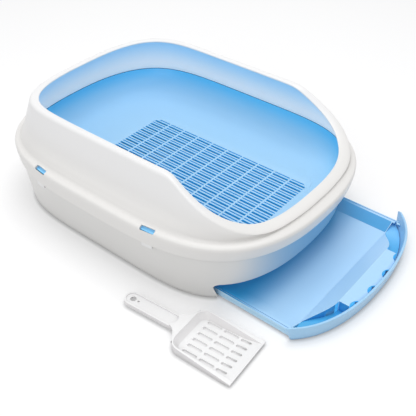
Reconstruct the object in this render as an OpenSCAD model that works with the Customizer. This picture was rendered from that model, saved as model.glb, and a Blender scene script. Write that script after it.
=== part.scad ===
// Drawer litter box: a base with a pull-out tray, a slotted bowl, a clip-on
// shield and a loose scoop. Millimetres, +Z up, X along the box, the tray
// leaves at +X. The origin is the middle of the underside.

/* [Base] */
// Base length at the floor
base_length = 484.8; // [360:1:620]
// Base width at the floor
base_width = 354; // [260:1:460]
// Height of the base wall's top edge
base_height = 100.2; // [80:0.2:140]
// Growth of the base from its foot to its top edge, each side
base_flare = 16.5; // [6:0.5:26]
// Wall of every moulded shell
wall = 2.6; // [1.8:0.1:4]
// Floor plate of the base
base_floor = 2.2; // [1.6:0.1:4]

/* [Mouth] */
// Distance from the side of the base to the tray opening
mouth_margin = 28.5; // [20:0.5:70]
// Top of the tray opening above the floor
mouth_height = 30.5; // [22:0.5:50]
// Corner radius of the tray opening
mouth_corner = 6; // [2:0.5:14]
// Outward slant of the opening's sides, in degrees
mouth_slant = 18; // [0:1:25]

/* [Tray] */
// How far the tray stands out of the base
tray_open = 120; // [0:1:170]
// Side gap between the tray and the opening
tray_gap = 2.9; // [1:0.1:6]
// Gap between the tray and the base floor
tray_lift = 0.4; // [0.2:0.1:2]
// Height of the tray's side ledge above the floor
ledge_height = 13; // [9:0.5:20]
// Width of the flat side ledge
ledge_width = 7.6; // [4:0.2:14]
// Width of the sloping side wall inside the ledge
slope_width = 19.5; // [6:0.5:30]
// Distance from the middle of the box to the tray's back edge, tray closed
tray_back = 188; // [140:1:200]
// Length of the front ramp
ramp_length = 27; // [15:1:50]
// Depth of the flat shelf behind the front panel, at the middle
shelf_depth = 20.5; // [10:0.5:40]
// Height of the shelf above the floor
shelf_height = 22.4; // [14:0.2:30]
// Width of the shelf
shelf_width = 134; // [60:1:240]
// Radius of the drain notches in the shelf's front edge
notch_radius = 12; // [4:0.5:20]
// How far the drain notches reach into the shelf
notch_depth = 5.5; // [2:0.5:12]
// How deep the drain notches go below the shelf
notch_sink = 7; // [3:0.5:14]
// Spacing of the drain notches
notch_pitch = 41; // [24:1:60]

/* [Front panel] */
// Height of the front panel's top edge above the floor
panel_height = 26.5; // [18:0.5:30]
// Thickness of the front panel
panel_thick = 4.2; // [2.5:0.1:8]
// Side gap between the panel and the opening
panel_gap = 1.2; // [0.6:0.1:4]
// Radius of the panel's upper corners
panel_corner = 5.5; // [2:0.5:9]

/* [Bowl] */
// Distance from the base's top edge in to the bowl's edge, at the ends
bowl_inset_end = 14.9; // [8:0.1:30]
// Distance from the base's top edge in to the bowl's edge, at the sides
bowl_inset_side = 12; // [8:0.1:30]
// Height of the bowl's edge above the base's top edge
bowl_rise = 4.6; // [4:0.1:12]
// Offset of the bowl's edge towards the entry
bowl_shift = 1; // [0:0.5:6]
// Thickness of the bowl's wall
bowl_wall_thick = 2.2; // [1.6:0.1:4]
// Thickness of the flange that rests on the base
flange_thick = 2.4; // [1.6:0.1:4]
// Gap between the flange and the base's top edge
flange_gap = 0.2; // [0.1:0.1:0.6]
// Height of the sieve's upper face
sieve_height = 72.6; // [50:0.2:100]
// Sieve plate thickness
sieve_thick = 3; // [2:0.1:5]
// Length of the slotted field
sieve_length = 308; // [180:1:360]
// Width of the slotted field
sieve_width = 144.4; // [80:0.4:240]
// Offset of the slotted field towards the tray mouth
sieve_offset = 44; // [-40:1:70]
// Offset of the slotted field towards the near side
sieve_side = 6.2; // [0:0.2:20]
// Number of bays along the sieve
sieve_bays = 10; // [4:1:16]
// Number of wide and narrow slot pairs across the sieve
sieve_pairs = 12; // [5:1:18]
// Width of a wide slot
wide_slot = 3.8; // [1.5:0.1:6]
// Width of a narrow slot
narrow_slot = 2.2; // [0.8:0.1:5]
// Width of the cross ribs
rib_width = 2.8; // [1.6:0.1:6]

/* [Shield] */
// Highest level of the rim
rim_high = 177; // [120:0.5:240]
// Level of the rim at the entry
rim_low = 117.6; // [114:0.2:200]
// How much lower the rim is at the closed end
rim_tail = 6.4; // [0:0.2:15]
// Inward lean of the rim's inner edge at the high side
rim_lean = 36; // [10:1:50]
// Where the rim starts to drop, along X
drop_start = 112; // [40:1:150]
// Where the rim reaches its lowest level, along X
drop_end = 224; // [160:1:240]
// Width of the rolled lip on the high rim
lip_high = 12.4; // [8:0.2:18]
// Width of the rolled lip at the entry
lip_low = 17; // [8:0.5:20]
// How far the high rim's lip is crowned
lip_crown = 2.3; // [0:0.1:3]
// Thickness of the shield's leaning wall, measured level
lean_wall = 3; // [2:0.1:4]
// How far the skirt reaches below the base's top edge
skirt_drop = 15.7; // [8:0.1:30]
// How far the shield's shoulder stands out past the base, at the ends
collar_over_end = 9.6; // [8:0.1:16]
// How far the shield's shoulder stands out past the base, at the sides
collar_over_side = 4.5; // [4:0.1:12]
// Offset of the collar towards the entry
collar_shift = 1.8; // [0:0.1:4]
// Thickness of the shield's skirt
skirt_thick = 2.4; // [1.6:0.1:4]
// Gap between the shield and the bowl's edge
shield_gap = 0.3; // [0.2:0.1:1]

/* [Snaps] */
// Distance of the snap windows from the middle
snap_spacing = 108; // [60:1:160]
// Width of a snap window
window_width = 20.5; // [12:0.5:30]
// Reach of a snap window up the collar's slope
window_reach = 7.2; // [4:0.2:9]
// Width of a snap hook
hook_width = 17; // [8:0.5:24]
// How far a hook reaches below the skirt
hook_drop = 5.5; // [2:0.5:10]
// How far a hook's barb stands in from the skirt
hook_barb = 1.5; // [0.5:0.1:2]

/* [Scoop] */
// Length from the front edge to the end of the handle
scoop_length = 201; // [150:1:280]
// Width of the front edge
scoop_width = 85; // [60:1:130]
// Length of the scoop bowl
scoop_bowl = 100; // [70:1:150]
// Depth of the scoop bowl at the back
scoop_depth = 13; // [8:0.5:30]
// Height of the scoop's front edge
scoop_tip = 5.5; // [3:0.5:12]
// Lean of the scoop bowl's inner walls, from rim to floor
scoop_slant = 7; // [0:0.5:12]
// Width of the handle
handle_width = 23.5; // [14:0.5:34]
// Height of the handle's top face above the floor
handle_top = 10; // [7:0.5:18]
// Turn of the scoop on the floor
scoop_turn = 4.2; // [-90:0.2:90]
// Place of the scoop's front edge along X
scoop_x = 297.5; // [150:0.5:400]
// Place of the scoop's front edge along Y
scoop_y = -216.5; // [-320:0.5:-150]

/* [Hidden] */
steps = 96;
base_a = base_length / 2;
base_b = base_width / 2;
foot_p = 5.27;
foot_q = 2.2;
foot_round = 2.6;
mouth_half = base_b - mouth_margin;
tray_half = mouth_half - tray_gap;
tray_bottom = base_floor + tray_lift;
tray_floor = tray_bottom + 2;
floor_half = tray_half - ledge_width - slope_width;
panel_half = mouth_half - panel_gap;
bowl_a = base_a + base_flare - bowl_inset_end;
bowl_b = base_b + base_flare - bowl_inset_side;
bowl_top = base_height + bowl_rise;
collar_a = base_a + base_flare + collar_over_end - collar_shift;
collar_b = base_b + base_flare + collar_over_side;
shoulder_z = base_height + 4;
skirt_bottom = base_height - skirt_drop;
scoop_floor = 2.2;
skirt_mid = blend(skirt_bottom, shoulder_z, 0.58);
crease_z = shoulder_z + 6.3;
lip_start = 14;
shield_foot = bowl_top + shield_gap;

// ---- shared shapes ----

function power(v, e) = v == 0 ? 0 : sign(v) * pow(abs(v), e);

// One point of a closed oval |x/a|^p + |y/b|^q = 1.
function oval_point(a, b, p, q, ang) = [a * power(cos(ang), 2 / p), b * power(sin(ang), 2 / q)];

// A flat ring [a, b, p, q, z, shift] as 3-D points.
function ring(r) = [
    for (i = [0:steps - 1])
        let (v = oval_point(r[0], r[1], r[2], r[3], i * 360 / steps))
            [v[0] + r[5], v[1], r[4]]
];

// Half length of an oval at one |y|.
function oval_x(a, b, p, q, y) = a * pow(max(0, 1 - pow(abs(y) / b, q)), 1 / p);

// Half width of an oval at one |x|.
function oval_y(a, b, p, q, x) = b * pow(max(0, 1 - pow(abs(x) / a, p)), 1 / q);

function blend(u, v, t) = u + (v - u) * t;

// A straight ramp from 0 to 1 whose two corners are rounded over r each side.
function soft_ramp(t, r) =
    t < -r ? 0 :
    t < r ? pow(t + r, 2) / (4 * r) :
    t < 1 - r ? t :
    t < 1 + r ? 1 - pow(1 + r - t, 2) / (4 * r) : 1;

// A hollow ring-shaped solid: the rings run up the outside and down the inside.
module ring_solid(rings, n = steps) {
    m = len(rings);
    pts = [for (r = rings) for (v = r) v];
    faces = [
        for (r = [0:m - 1])
            for (i = [0:n - 1])
                let (j = (i + 1) % n, s = (r + 1) % m)
                    for (f = [[r * n + i, s * n + j, r * n + j], [r * n + i, s * n + i, s * n + j]])
                        f
    ];
    polyhedron(pts, faces, convexity = 8);
}

// A solid bar through sections of n points each. Point k of a section lies
// across from point n - 1 - k, so each end is closed by a strip between them.
module bar_solid(sections) {
    n = len(sections[0]);
    m = len(sections);
    last = (m - 1) * n;
    pts = [for (r = sections) for (v = r) v];
    sides = [
        for (r = [0:m - 2])
            for (i = [0:n - 1])
                let (j = (i + 1) % n, s = r + 1)
                    for (f = [[r * n + i, s * n + j, r * n + j], [r * n + i, s * n + i, s * n + j]])
                        f
    ];
    ends = [
        for (i = [0:n / 2 - 2])
            let (j = n - 1 - i)
                for (f = [[i, i + 1, j], [i + 1, j - 1, j]])
                    for (g = [f, [last + f[2], last + f[1], last + f[0]]])
                        g
    ];
    polyhedron(pts, concat(sides, ends), convexity = 8);
}

// A flat plate with the oval outline.
module oval_plate(a, b, p, q, z0, h) {
    translate([0, 0, z0])
        linear_extrude(h)
            polygon([for (v = ring([a, b, p, q, 0, 0])) [v[0], v[1]]]);
}

// ---- base ----

// Outline of the base wall at height z, moved in by inset.
function base_ring(z, inset = 0) =
    let (t = z / base_height, g = base_flare * pow(t, 0.92))
        [base_a + g - inset, base_b + g - inset, blend(foot_p, 3.85, t), blend(foot_q, 2.45, t), z, 0];

module base_wall() {
    levels = [foot_round, 30, 60, 84, base_height];
    outer = concat([ring(foot_ring(2.4))], [for (z = levels) ring(base_ring(z))]);
    inner = [for (k = [len(levels) - 1:-1:0]) ring(base_ring(levels[k], wall))];
    ring_solid(concat(outer, inner, [ring(foot_ring(wall + 2))]));
}

// The ring on the floor, drawn in a little so that the bottom edge is rounded.
function foot_ring(inset) =
    let (r = base_ring(foot_round, inset)) [r[0], r[1], r[2], r[3], 0, 0];

// The tray opening seen along X: slanted sides and rounded upper corners.
module mouth_profile() {
    half = mouth_half;
    r = mouth_corner;
    cx = half + (sin(mouth_slant) * (mouth_height - r) - r) / cos(mouth_slant);
    low = half - 20 * tan(mouth_slant);
    arc = [for (a = [-mouth_slant:9:90]) [cx + r * cos(a), mouth_height - r + r * sin(a)]];
    arc_left = [for (k = [len(arc) - 1:-1:0]) [-arc[k][0], arc[k][1]]];
    polygon(concat([[low, -20]], arc, arc_left, [[-low, -20]]));
}

module mouth_cut() {
    depth = 110;
    difference() {
        translate([base_a + 30 - depth, 0, 0])
            rotate([90, 0, 90])
                linear_extrude(depth)
                    mouth_profile();
        oval_plate(base_a - 7, base_b - 7, foot_p, foot_q, -1, base_floor + 1.01);
    }
}

// Ribs that keep the tray straight.
module guide_rails() {
    rail = 2;
    for (s = [-1, 1])
        translate([-tray_back + 8, s * (mouth_half + rail / 2) - rail / 2, base_floor - 0.2])
            cube([tray_back + 168, rail, 8.2]);
}

// Blocks that stop the closed tray.
module back_stops() {
    for (s = [-1, 1])
        translate([-tray_back - 8, s * 80 - 15, base_floor - 0.2])
            cube([7.4, 30, 9]);
}

module foot_rings() {
    for (x = [-150, 150], s = [-1, 1])
        translate([x, s * 110, -1])
            difference() {
                cylinder(h = 1.8, r = 17, $fn = 64);
                translate([0, 0, -1])
                    cylinder(h = 4, r = 13, $fn = 64);
            }
}

module base_shell() {
    color([0.93, 0.93, 0.92])
        difference() {
            union() {
                base_wall();
                oval_plate(base_a - wall, base_b - wall, foot_p, foot_q, 0, base_floor);
                guide_rails();
                back_stops();
            }
            mouth_cut();
            foot_rings();
        }
}

// ---- bowl ----

// Profile of the bowl: share of its depth, share of the way in to the sieve, and the outline's exponents.
BOWL_STEPS = [
    [0, 0, 4.9, 2.4],
    [0.27, 0.04, 4.9, 2.4],
    [0.53, 0.11, 4.8, 2.45],
    [0.76, 0.24, 4.6, 2.6],
    [0.9, 0.45, 4.5, 2.9],
    [0.97, 0.73, 5, 3.6]
];

// Outline around the slotted field, moved out by grow.
function sieve_ring(z, grow) =
    [sieve_length / 2 + grow, sieve_width / 2 + sieve_side + grow, 9, 9, z, sieve_offset];

// One ring of the bowl's face, moved out and down.
function bowl_ring(k, out, down) =
    let (s = BOWL_STEPS[k], w = s[1], e = sieve_ring(0, 6))
        [
            blend(bowl_a, e[0], w) + out,
            blend(bowl_b, e[1], w) + out,
            s[2],
            s[3],
            blend(bowl_top, sieve_height, s[0]) - down,
            bowl_shift + (sieve_offset - bowl_shift) * w * w
        ];

// A ring just outside the bowl's edge at height z.
function edge_ring(z) = [bowl_a + bowl_wall_thick, bowl_b + bowl_wall_thick, 4.8, 2.4, z, bowl_shift];

// The flange's outer edge, a little past the base's top edge that it rests on.
function flange_ring(z) =
    let (r = base_ring(base_height)) [r[0] + 0.4, r[1] + 0.4, r[2], r[3], z, 0];

module bowl_wall() {
    last = len(BOWL_STEPS) - 1;
    flange_low = base_height + flange_gap;
    flange_top = flange_low + flange_thick;
    inner = [for (k = [0:last]) ring(bowl_ring(k, 0, 0))];
    outer = [
        for (k = [last:-1:1])
            let (t = BOWL_STEPS[k][0])
                ring(bowl_ring(k, bowl_wall_thick * (1 - t), bowl_wall_thick * t + 0.6))
    ];
    lip = [
        ring(edge_ring(flange_low)),
        ring(flange_ring(flange_low)),
        ring(flange_ring(flange_top)),
        ring(edge_ring(flange_top)),
        ring(edge_ring(bowl_top))
    ];
    edge = [
        ring(sieve_ring(sieve_height, 6)),
        ring(sieve_ring(sieve_height - sieve_thick, 6))
    ];
    ring_solid(concat(outer, lip, inner, edge));
}

module sieve_slots() {
    bay = sieve_length / sieve_bays;
    pitch = sieve_width / sieve_pairs;
    for (i = [0:sieve_bays - 1], j = [0:sieve_pairs - 1]) {
        translate([-sieve_length / 2 + (i + 0.5) * bay, -sieve_width / 2 + (j + 0.27) * pitch])
            square([bay - rib_width, wide_slot], center = true);
        translate([-sieve_length / 2 + (i + 0.5) * bay, -sieve_width / 2 + (j + 0.77) * pitch])
            square([bay - rib_width, narrow_slot], center = true);
    }
}

module sieve_plate() {
    corner = 16;
    translate([0, 0, sieve_height - sieve_thick])
        linear_extrude(sieve_thick)
            difference() {
                polygon([for (v = ring(sieve_ring(0, 9))) [v[0], v[1]]]);
                translate([sieve_offset, -sieve_side])
                    intersection() {
                        sieve_slots();
                        rounded(sieve_length, sieve_width, corner);
                    }
            }
}

module rounded(l, w, r) {
    square([l - 2 * r, w], center = true);
    square([l, w - 2 * r], center = true);
    for (x = [-1, 1], y = [-1, 1])
        translate([x * (l / 2 - r), y * (w / 2 - r)])
            circle(r, $fn = 32);
}

module sieve_pan() {
    color([0.45, 0.72, 0.93]) {
        bowl_wall();
        sieve_plate();
    }
}

// ---- shield ----

// Height of the rim's inner edge at one x.
function rim_z(x) =
    let (
        t = (x - drop_start) / (drop_end - drop_start),
        tail = rim_tail * pow(max(0, -x - 90) / 115, 2)
    ) rim_high - (rim_high - rim_low) * soft_ramp(t, 0.1) - tail;

// Rise of a height above the bowl, as a fraction of the whole rise.
function rise(z) = max(0, z - bowl_top) / (rim_high - bowl_top);

// Inward lean of the rim's inner edge at height z.
function lean(z) = let (h = rise(z)) rim_lean * (1.24 * h - 0.24 * h * h);

// A point at height z, out from the inner edge line of height level by out.
function shell_point(ang, level, z, out) =
    let (
        h = rise(level),
        v = oval_point(bowl_a - lean(level) + out, bowl_b - lean(level) + out, 4.9 + h, 2.4 + 0.43 * h, ang)
    ) [v[0] + bowl_shift, v[1], z];

// The rim height for the point that outline angle ang leads to.
function rim_at(ang) =
    let (guess = rim_z(oval_point(bowl_a - 18, bowl_b - 18, 5.4, 2.7, ang)[0]))
        rim_z(shell_point(ang, guess, 0, 0)[0]);

// How much of the low entry applies at this angle.
function low_at(ang) = (rim_high - rim_at(ang)) / (rim_high - rim_low);

function lip_at(ang) = blend(lip_high, lip_low, pow(low_at(ang), 1.5));

// Level of the lip's outer edge.
function lip_foot(ang) = max(crease_z + 1, rim_at(ang) - blend(0.33, 0.38, low_at(ang)) * lip_at(ang));

// Level of the lip at one turn from its outer edge (0) to its inner edge (90).
function lip_z(ang, turn) =
    blend(lip_foot(ang), rim_at(ang), sin(turn)) + lip_crown * (1 - low_at(ang)) * sin(2 * turn);

function lip_point(ang, turn) = shell_point(ang, rim_at(ang), lip_z(ang, turn), lip_at(ang) * cos(turn));

// Distance of the wall's outer face from the inner edge line: it meets the lip where the lip starts.
function wall_out(ang, z) =
    let (
        top = lip_z(ang, lip_start),
        end = lip_at(ang) * cos(lip_start) - lean(rim_at(ang)) + lean(top),
        down = 1 - min(1, max(0, z - crease_z) / (top - crease_z))
    ) blend(end, lean_wall, down * down);

// Outer face of the wall at fraction u of the way from the crease to the lip.
function face_point(ang, u) =
    let (
        z = blend(crease_z, lip_z(ang, lip_start), u),
        c = oval_point(collar_a - 14.5, collar_b - 12, 4.16, 2.55, ang),
        w = shell_point(ang, z, z, wall_out(ang, z)),
        t = pow(1 - min(1, (z - crease_z) / 24), 2)
    ) [blend(w[0], c[0] + collar_shift, t), blend(w[1], c[1], t), z];

// Inner face of the wall at fraction u of the way from the bowl to the lip.
function inner_point(ang, u) =
    let (z = blend(shield_foot, lip_z(ang, lip_start) - 3.1, u))
        shell_point(ang, z, z, wall_out(ang, z) - lean_wall);

// The collar's outline, moved in by end and side, with its own exponents.
function collar_ring(end, side, p, q, z) = [collar_a - end, collar_b - side, p, q, z, collar_shift];

// Inner lower edge of the skirt.
skirt_inner = collar_ring(skirt_thick + 3.5, skirt_thick - 2, 3.45, 2.46, skirt_bottom);

module shield_body() {
    turns = [for (i = [0:steps - 1]) i * 360 / steps];
    skirt = [
        ring(collar_ring(3.5, -2, 3.45, 2.46, skirt_bottom)),
        ring(collar_ring(0.9, -1, 3.62, 2.44, skirt_mid)),
        ring(collar_ring(0, 0, 3.78, 2.42, shoulder_z)),
        ring(collar_ring(1.4, 1.2, 3.8, 2.42, shoulder_z + 2)),
        ring(collar_ring(13, 10.8, 4.1, 2.53, crease_z - 0.5))
    ];
    face = [for (u = [0.12, 0.36, 0.68]) [for (g = turns) face_point(g, u)]];
    lip = [for (turn = [lip_start, 32, 50, 70, 90]) [for (g = turns) lip_point(g, turn)]];
    edge = [
        [for (g = turns) let (z = rim_at(g)) shell_point(g, z, z - 2.2, 0)],
        [for (g = turns) shell_point(g, rim_at(g), lip_z(g, 66) - lean_wall, lip_at(g) * 0.4)]
    ];
    inside = [for (u = [1, 0.7, 0.4, 0]) [for (g = turns) inner_point(g, u)]];
    under = [
        [for (g = turns) shell_point(g, shield_foot, shield_foot, 2.6)],
        ring(collar_ring(14, 12.4, 4.1, 2.5, crease_z - 3.3)),
        ring(collar_ring(skirt_thick + 1, skirt_thick + 0.8, 3.8, 2.42, shoulder_z - 0.8)),
        ring(collar_ring(skirt_thick + 0.9, skirt_thick - 1, 3.62, 2.44, skirt_mid)),
        ring(skirt_inner)
    ];
    ring_solid(concat(skirt, face, lip, edge, inside, under));
}

// Where the skirt's inner face runs past the middle of a hook.
snap_y = oval_y(skirt_inner[0], skirt_inner[1], skirt_inner[2], skirt_inner[3], snap_spacing);

// One window through the collar's sloping top, square to its slope.
module snap_window() {
    slope = atan2(crease_z - 0.5 - shoulder_z - 2, 9.6);
    translate([0, skirt_thick - 1.2, shoulder_z + 1.8])
        rotate([-slope, 0, 0])
            translate([-window_width / 2, -window_reach, -8])
                cube([window_width, window_reach, 16]);
}

// A hook that carries the skirt on downwards, with a barb inside.
module snap_hook() {
    translate([-hook_width / 2, -0.2, skirt_bottom - hook_drop])
        cube([hook_width, skirt_thick, hook_drop + 4]);
    translate([-hook_width / 2, -hook_barb, skirt_bottom - hook_drop])
        cube([hook_width, hook_barb + 1, 2.4]);
}

// The four snap places, each drawn as the one at +X and +Y and turned to follow the skirt.
module at_snaps() {
    for (sx = [0, 1], sy = [0, 1])
        mirror([0, sy, 0])
            mirror([sx, 0, 0])
                translate([snap_spacing, snap_y, 0])
                    rotate([0, 0, -7])
                        children();
}

module shield() {
    color([0.95, 0.95, 0.94]) {
        difference() {
            shield_body();
            at_snaps()
                snap_window();
        }
        at_snaps()
            snap_hook();
    }
}

// ---- tray ----

// Half of the tray's wall section, seen along X.
module side_section(s) {
    t = 2;
    polygon([
        for (v = [
            [tray_half, tray_bottom],
            [tray_half, ledge_height],
            [tray_half - ledge_width, ledge_height],
            [floor_half, tray_floor],
            [floor_half - 1, tray_floor],
            [floor_half - 1, tray_bottom],
            [floor_half + 0.8, tray_bottom],
            [tray_half - ledge_width + 0.6, ledge_height - t],
            [tray_half - t, ledge_height - t],
            [tray_half - t, tray_bottom]
        ]) [s * v[0], v[1]]
    ]);
}

// Where the ramp starts and ends along X, tray closed.
shelf_front = base_a - panel_thick;
shelf_back = shelf_front - shelf_depth;
ramp_start = shelf_back - ramp_length;

// Front edge of the tray at one y: just behind the panel.
function front_x(y) = oval_x(base_a, base_b, foot_p, foot_q, y) - panel_thick;

// Plan of the ramp and shelf between the two corner pockets.
function island_plan(inset) = concat(
    [for (k = [0:12]) pocket_edge(k / 12, inset, 1)],
    [for (k = [0:16]) let (y = (shelf_width / 2 - inset) * (1 - k / 8)) [front_x(y) - inset, y]],
    [for (k = [12:-1:0]) pocket_edge(k / 12, inset, -1)],
    [[ramp_start - 4, -floor_half], [ramp_start - 4, floor_half]]
);

// The curved edge of a corner pocket, from the side wall to the shelf.
function pocket_edge(t, inset, s) =
    let (
        a = 90 * t,
        x = ramp_start + ramp_length * pow(sin(a), 1.15),
        y = blend(floor_half, shelf_width / 2, pow(t, 0.9)) - inset
    ) [x, s * y];

// The ramp and shelf seen along Y, lowered by drop.
module ramp_profile(drop, start) {
    polygon([
        [start - 6, tray_bottom - 0.01],
        [start - 6, tray_floor - drop],
        [start, tray_floor - drop],
        [start + ramp_length, shelf_height - drop],
        [base_a + 10, shelf_height - drop],
        [base_a + 10, tray_bottom - 0.01]
    ]);
}

module ramp_shape(drop, inset) {
    intersection() {
        translate([0, floor_half + 4, 0])
            rotate([90, 0, 0])
                linear_extrude(2 * floor_half + 8)
                    ramp_profile(drop, ramp_start);
        translate([0, 0, tray_bottom - 1])
            linear_extrude(60)
                polygon(island_plan(inset));
    }
}

// Front edge of the shelf: it follows the leaning face of the panel.
function shelf_x(y) =
    let (r = base_ring(shelf_height - 2))
        oval_x(r[0], r[1], r[2], r[3], y) - panel_thick - 0.1;

module shelf_lip() {
    half = shelf_width / 2;
    ys = [for (k = [0:16]) blend(-half, half, k / 16)];
    front = [for (y = ys) [shelf_x(y), y]];
    back = [for (k = [16:-1:0]) [front_x(ys[k]) - 2.5, ys[k]]];
    translate([0, 0, shelf_height - 2])
        linear_extrude(2)
            polygon(concat(front, back));
}

// Round pillars at the places of the drain notches.
module notch_pillars(radius, low) {
    for (k = [-1.5:1:1.5])
        translate([shelf_x(k * notch_pitch) + notch_radius - notch_depth, k * notch_pitch, low])
            cylinder(h = 40, r = radius, $fn = 40);
}

// Floor under the ramp and the pockets.
module front_floor() {
    edge = [for (k = [0:24]) let (y = blend(-tray_half, tray_half, k / 24)) [front_x(y), y]];
    translate([0, 0, tray_bottom])
        linear_extrude(tray_floor - tray_bottom)
            polygon(concat(edge, [[ramp_start - 2, tray_half], [ramp_start - 2, -tray_half]]));
}

// The ledge carries on past the ramp to the front panel.
module ledge_end(s) {
    translate([ramp_start - 1, s > 0 ? tray_half - ledge_width : -tray_half, ledge_height - 2])
        cube([front_x(tray_half) - ramp_start + 1, ledge_width, 2]);
    translate([ramp_start - 1, s > 0 ? tray_half - 2 : -tray_half, tray_bottom])
        cube([front_x(tray_half) - ramp_start + 1, 2, ledge_height - tray_bottom]);
}

module back_wall() {
    rotate([90, 0, 0])
        translate([0, 0, -tray_half + 1])
            linear_extrude(2 * tray_half - 2)
                polygon([
                    [-tray_back, tray_bottom],
                    [-tray_back, ledge_height],
                    [-tray_back + ledge_width, ledge_height],
                    [-tray_back + ledge_width + 12, tray_floor],
                    [-tray_back + ledge_width + 12, tray_bottom],
                    [-tray_back + ledge_width + 10, tray_bottom],
                    [-tray_back + ledge_width - 0.6, ledge_height - 2],
                    [-tray_back + 2, ledge_height - 2],
                    [-tray_back + 2, tray_bottom]
                ]);
}

module drawer_tray() {
    color([0.5, 0.75, 0.93])
        translate([tray_open, 0, 0]) {
            for (s = [-1, 1]) {
                translate([-tray_back, 0, 0])
                    rotate([90, 0, 90])
                        linear_extrude(tray_back + ramp_start)
                            side_section(s);
                ledge_end(s);
            }
            translate([-tray_back + 10, -floor_half, tray_bottom])
                cube([tray_back + ramp_start - 8, 2 * floor_half, tray_floor - tray_bottom]);
            back_wall();
            front_floor();
            difference() {
                union() {
                    ramp_shape(0, 0);
                    shelf_lip();
                }
                difference() {
                    ramp_shape(2, 2);
                    notch_pillars(notch_radius + 2, 0);
                }
                notch_pillars(notch_radius, shelf_height - notch_sink);
            }
        }
}

// ---- front panel ----

// Heights of the panel's section, foot to top, and how far each is drawn in.
PANEL_LEVELS = [
    [0.6, 1],
    [1.8, 0],
    [panel_height * 0.4, 0],
    [panel_height - panel_corner, 0],
    [panel_height - panel_corner * 0.55, 0],
    [panel_height - 1.4, 0],
    [panel_height - 0.4, 0.5],
    [panel_height, 1.2]
];

// Half width of the panel at height z: it leans like the opening and its upper corners are round.
function panel_side(z) =
    let (r = panel_corner, up = max(0, z - panel_height + r))
        panel_half + tan(mouth_slant) * z - (r - sqrt(r * r - up * up));

// One point of the panel at the share t of its half width, tray closed.
function panel_point(t, level, back) =
    let (z = level[0], inset = level[1], y = t * (panel_side(z) - inset), r = base_ring(max(z, foot_round)))
        [oval_x(r[0], r[1], r[2], r[3], y) - (back ? panel_thick - inset : inset), y, z];

// The panel's section at one share t: up the outer face, down the inner one.
function panel_section(t) = concat(
    [for (v = PANEL_LEVELS) panel_point(t, v, false)],
    [for (k = [len(PANEL_LEVELS) - 1:-1:0]) panel_point(t, PANEL_LEVELS[k], true)]
);

module drawer_front() {
    cuts = 36;
    color([0.55, 0.76, 0.92])
        translate([tray_open, 0, 0])
            bar_solid([for (k = [0:cuts]) panel_section(1 - 2 * k / cuts)]);
}

// ---- scoop ----

module scoop() {
    color([0.95, 0.95, 0.95])
        translate([scoop_x, scoop_y, 0])
            rotate([0, 0, scoop_turn])
                scoop_parts();
}

// Plan of the scoop bowl, x back from the front edge, moved in by inset.
function scoop_plan(inset) =
    let (
        front = scoop_width / 2 - inset,
        back = scoop_width / 2 - 3 - inset,
        r = 17 - inset,
        x0 = -scoop_bowl + inset
    ) concat(
        [[inset > 0 ? 5 : 0, front]],
        [for (a = [90:15:180]) [x0 + r + r * cos(a), back - r + r * sin(a)]],
        [for (a = [180:15:270]) [x0 + r + r * cos(a), -back + r + r * sin(a)]],
        [[inset > 0 ? 5 : 0, -front]]
    );

// Outer shape of the scoop bowl seen along Y: flat under the back, rising to a thin front edge.
module scoop_side() {
    back = -scoop_bowl - 1;
    polygon([[back, 0], [-22, 0], [0, scoop_tip - 2], [0, scoop_tip], [12 - scoop_bowl, scoop_depth], [back, scoop_depth]]);
}

// Hollow of the scoop bowl seen along Y: flat floor, rising to the front edge.
module scoop_hollow_side() {
    back = -scoop_bowl - 1;
    polygon([[back, scoop_floor], [-26, scoop_floor], [6, scoop_tip + 1], [6, 40], [back, 40]]);
}

// A shape drawn in X and Z, carried along Y past both sides of the scoop.
module along_y() {
    translate([0, scoop_width, 0])
        rotate([90, 0, 0])
            linear_extrude(2 * scoop_width)
                children();
}

module scoop_solid() {
    intersection() {
        along_y()
            scoop_side();
        translate([0, 0, -1])
            linear_extrude(50)
                polygon(scoop_plan(0));
    }
}

// The hollow's walls lean in towards the floor.
module scoop_hollow() {
    rim = 2;
    low = [for (v = scoop_plan(rim + scoop_slant)) [v[0], v[1], scoop_floor - 0.5]];
    high = [for (v = scoop_plan(rim)) [v[0], v[1], scoop_depth + 0.1]];
    n = len(low);
    faces = [
        for (i = [0:n - 1])
            let (j = (i + 1) % n)
                for (f = [[i, n + j, j], [i, n + i, n + j]])
                    f
    ];
    caps = [[for (i = [0:n - 1]) i], [for (i = [n - 1:-1:0]) n + i]];
    intersection() {
        along_y()
            scoop_hollow_side();
        polyhedron(concat(low, high), concat(faces, caps));
    }
}

module oblong(l, w, h) {
    translate([-l / 2 + w / 2, -w / 2, 0])
        cube([l - w, w, h]);
    for (s = [-1, 1])
        translate([s * (l / 2 - w / 2), 0, 0])
            cylinder(h = h, r = w / 2, $fn = 24);
}

module scoop_slots() {
    rows = [[-71, 23, 5.2], [-44.5, 23, 5.2], [-21.5, 16.5, 4.6]];
    pitch = 11.6;
    for (r = rows, k = [-2.5:1:2.5])
        translate([r[0], k * pitch, -1])
            oblong(r[1], r[2], 30);
}

// A bar with a round end at -X, from x = 0 back to its end circle's centre at -reach.
module handle_bar(reach, w, z, h) {
    translate([-reach, -w / 2, z])
        cube([reach, w, h]);
    translate([-reach, 0, z])
        cylinder(h = h, r = w / 2, $fn = 48);
}

// The handle is a channel, open below.
module scoop_handle() {
    reach = scoop_length - scoop_bowl - handle_width / 2 + 2;
    height = 6;
    low = handle_top - height;
    translate([2 - scoop_bowl, 0, 0])
        difference() {
            handle_bar(reach, handle_width, low, height);
            handle_bar(reach, handle_width - 4, low - 1, 3.6);
            translate([1.5 - reach, 0, low - 1])
                cylinder(h = 10, r = 4.4, $fn = 32);
            translate([10.5 - reach, 0, low - 1])
                cylinder(h = 10, r = 1.6, $fn = 24);
        }
}

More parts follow.
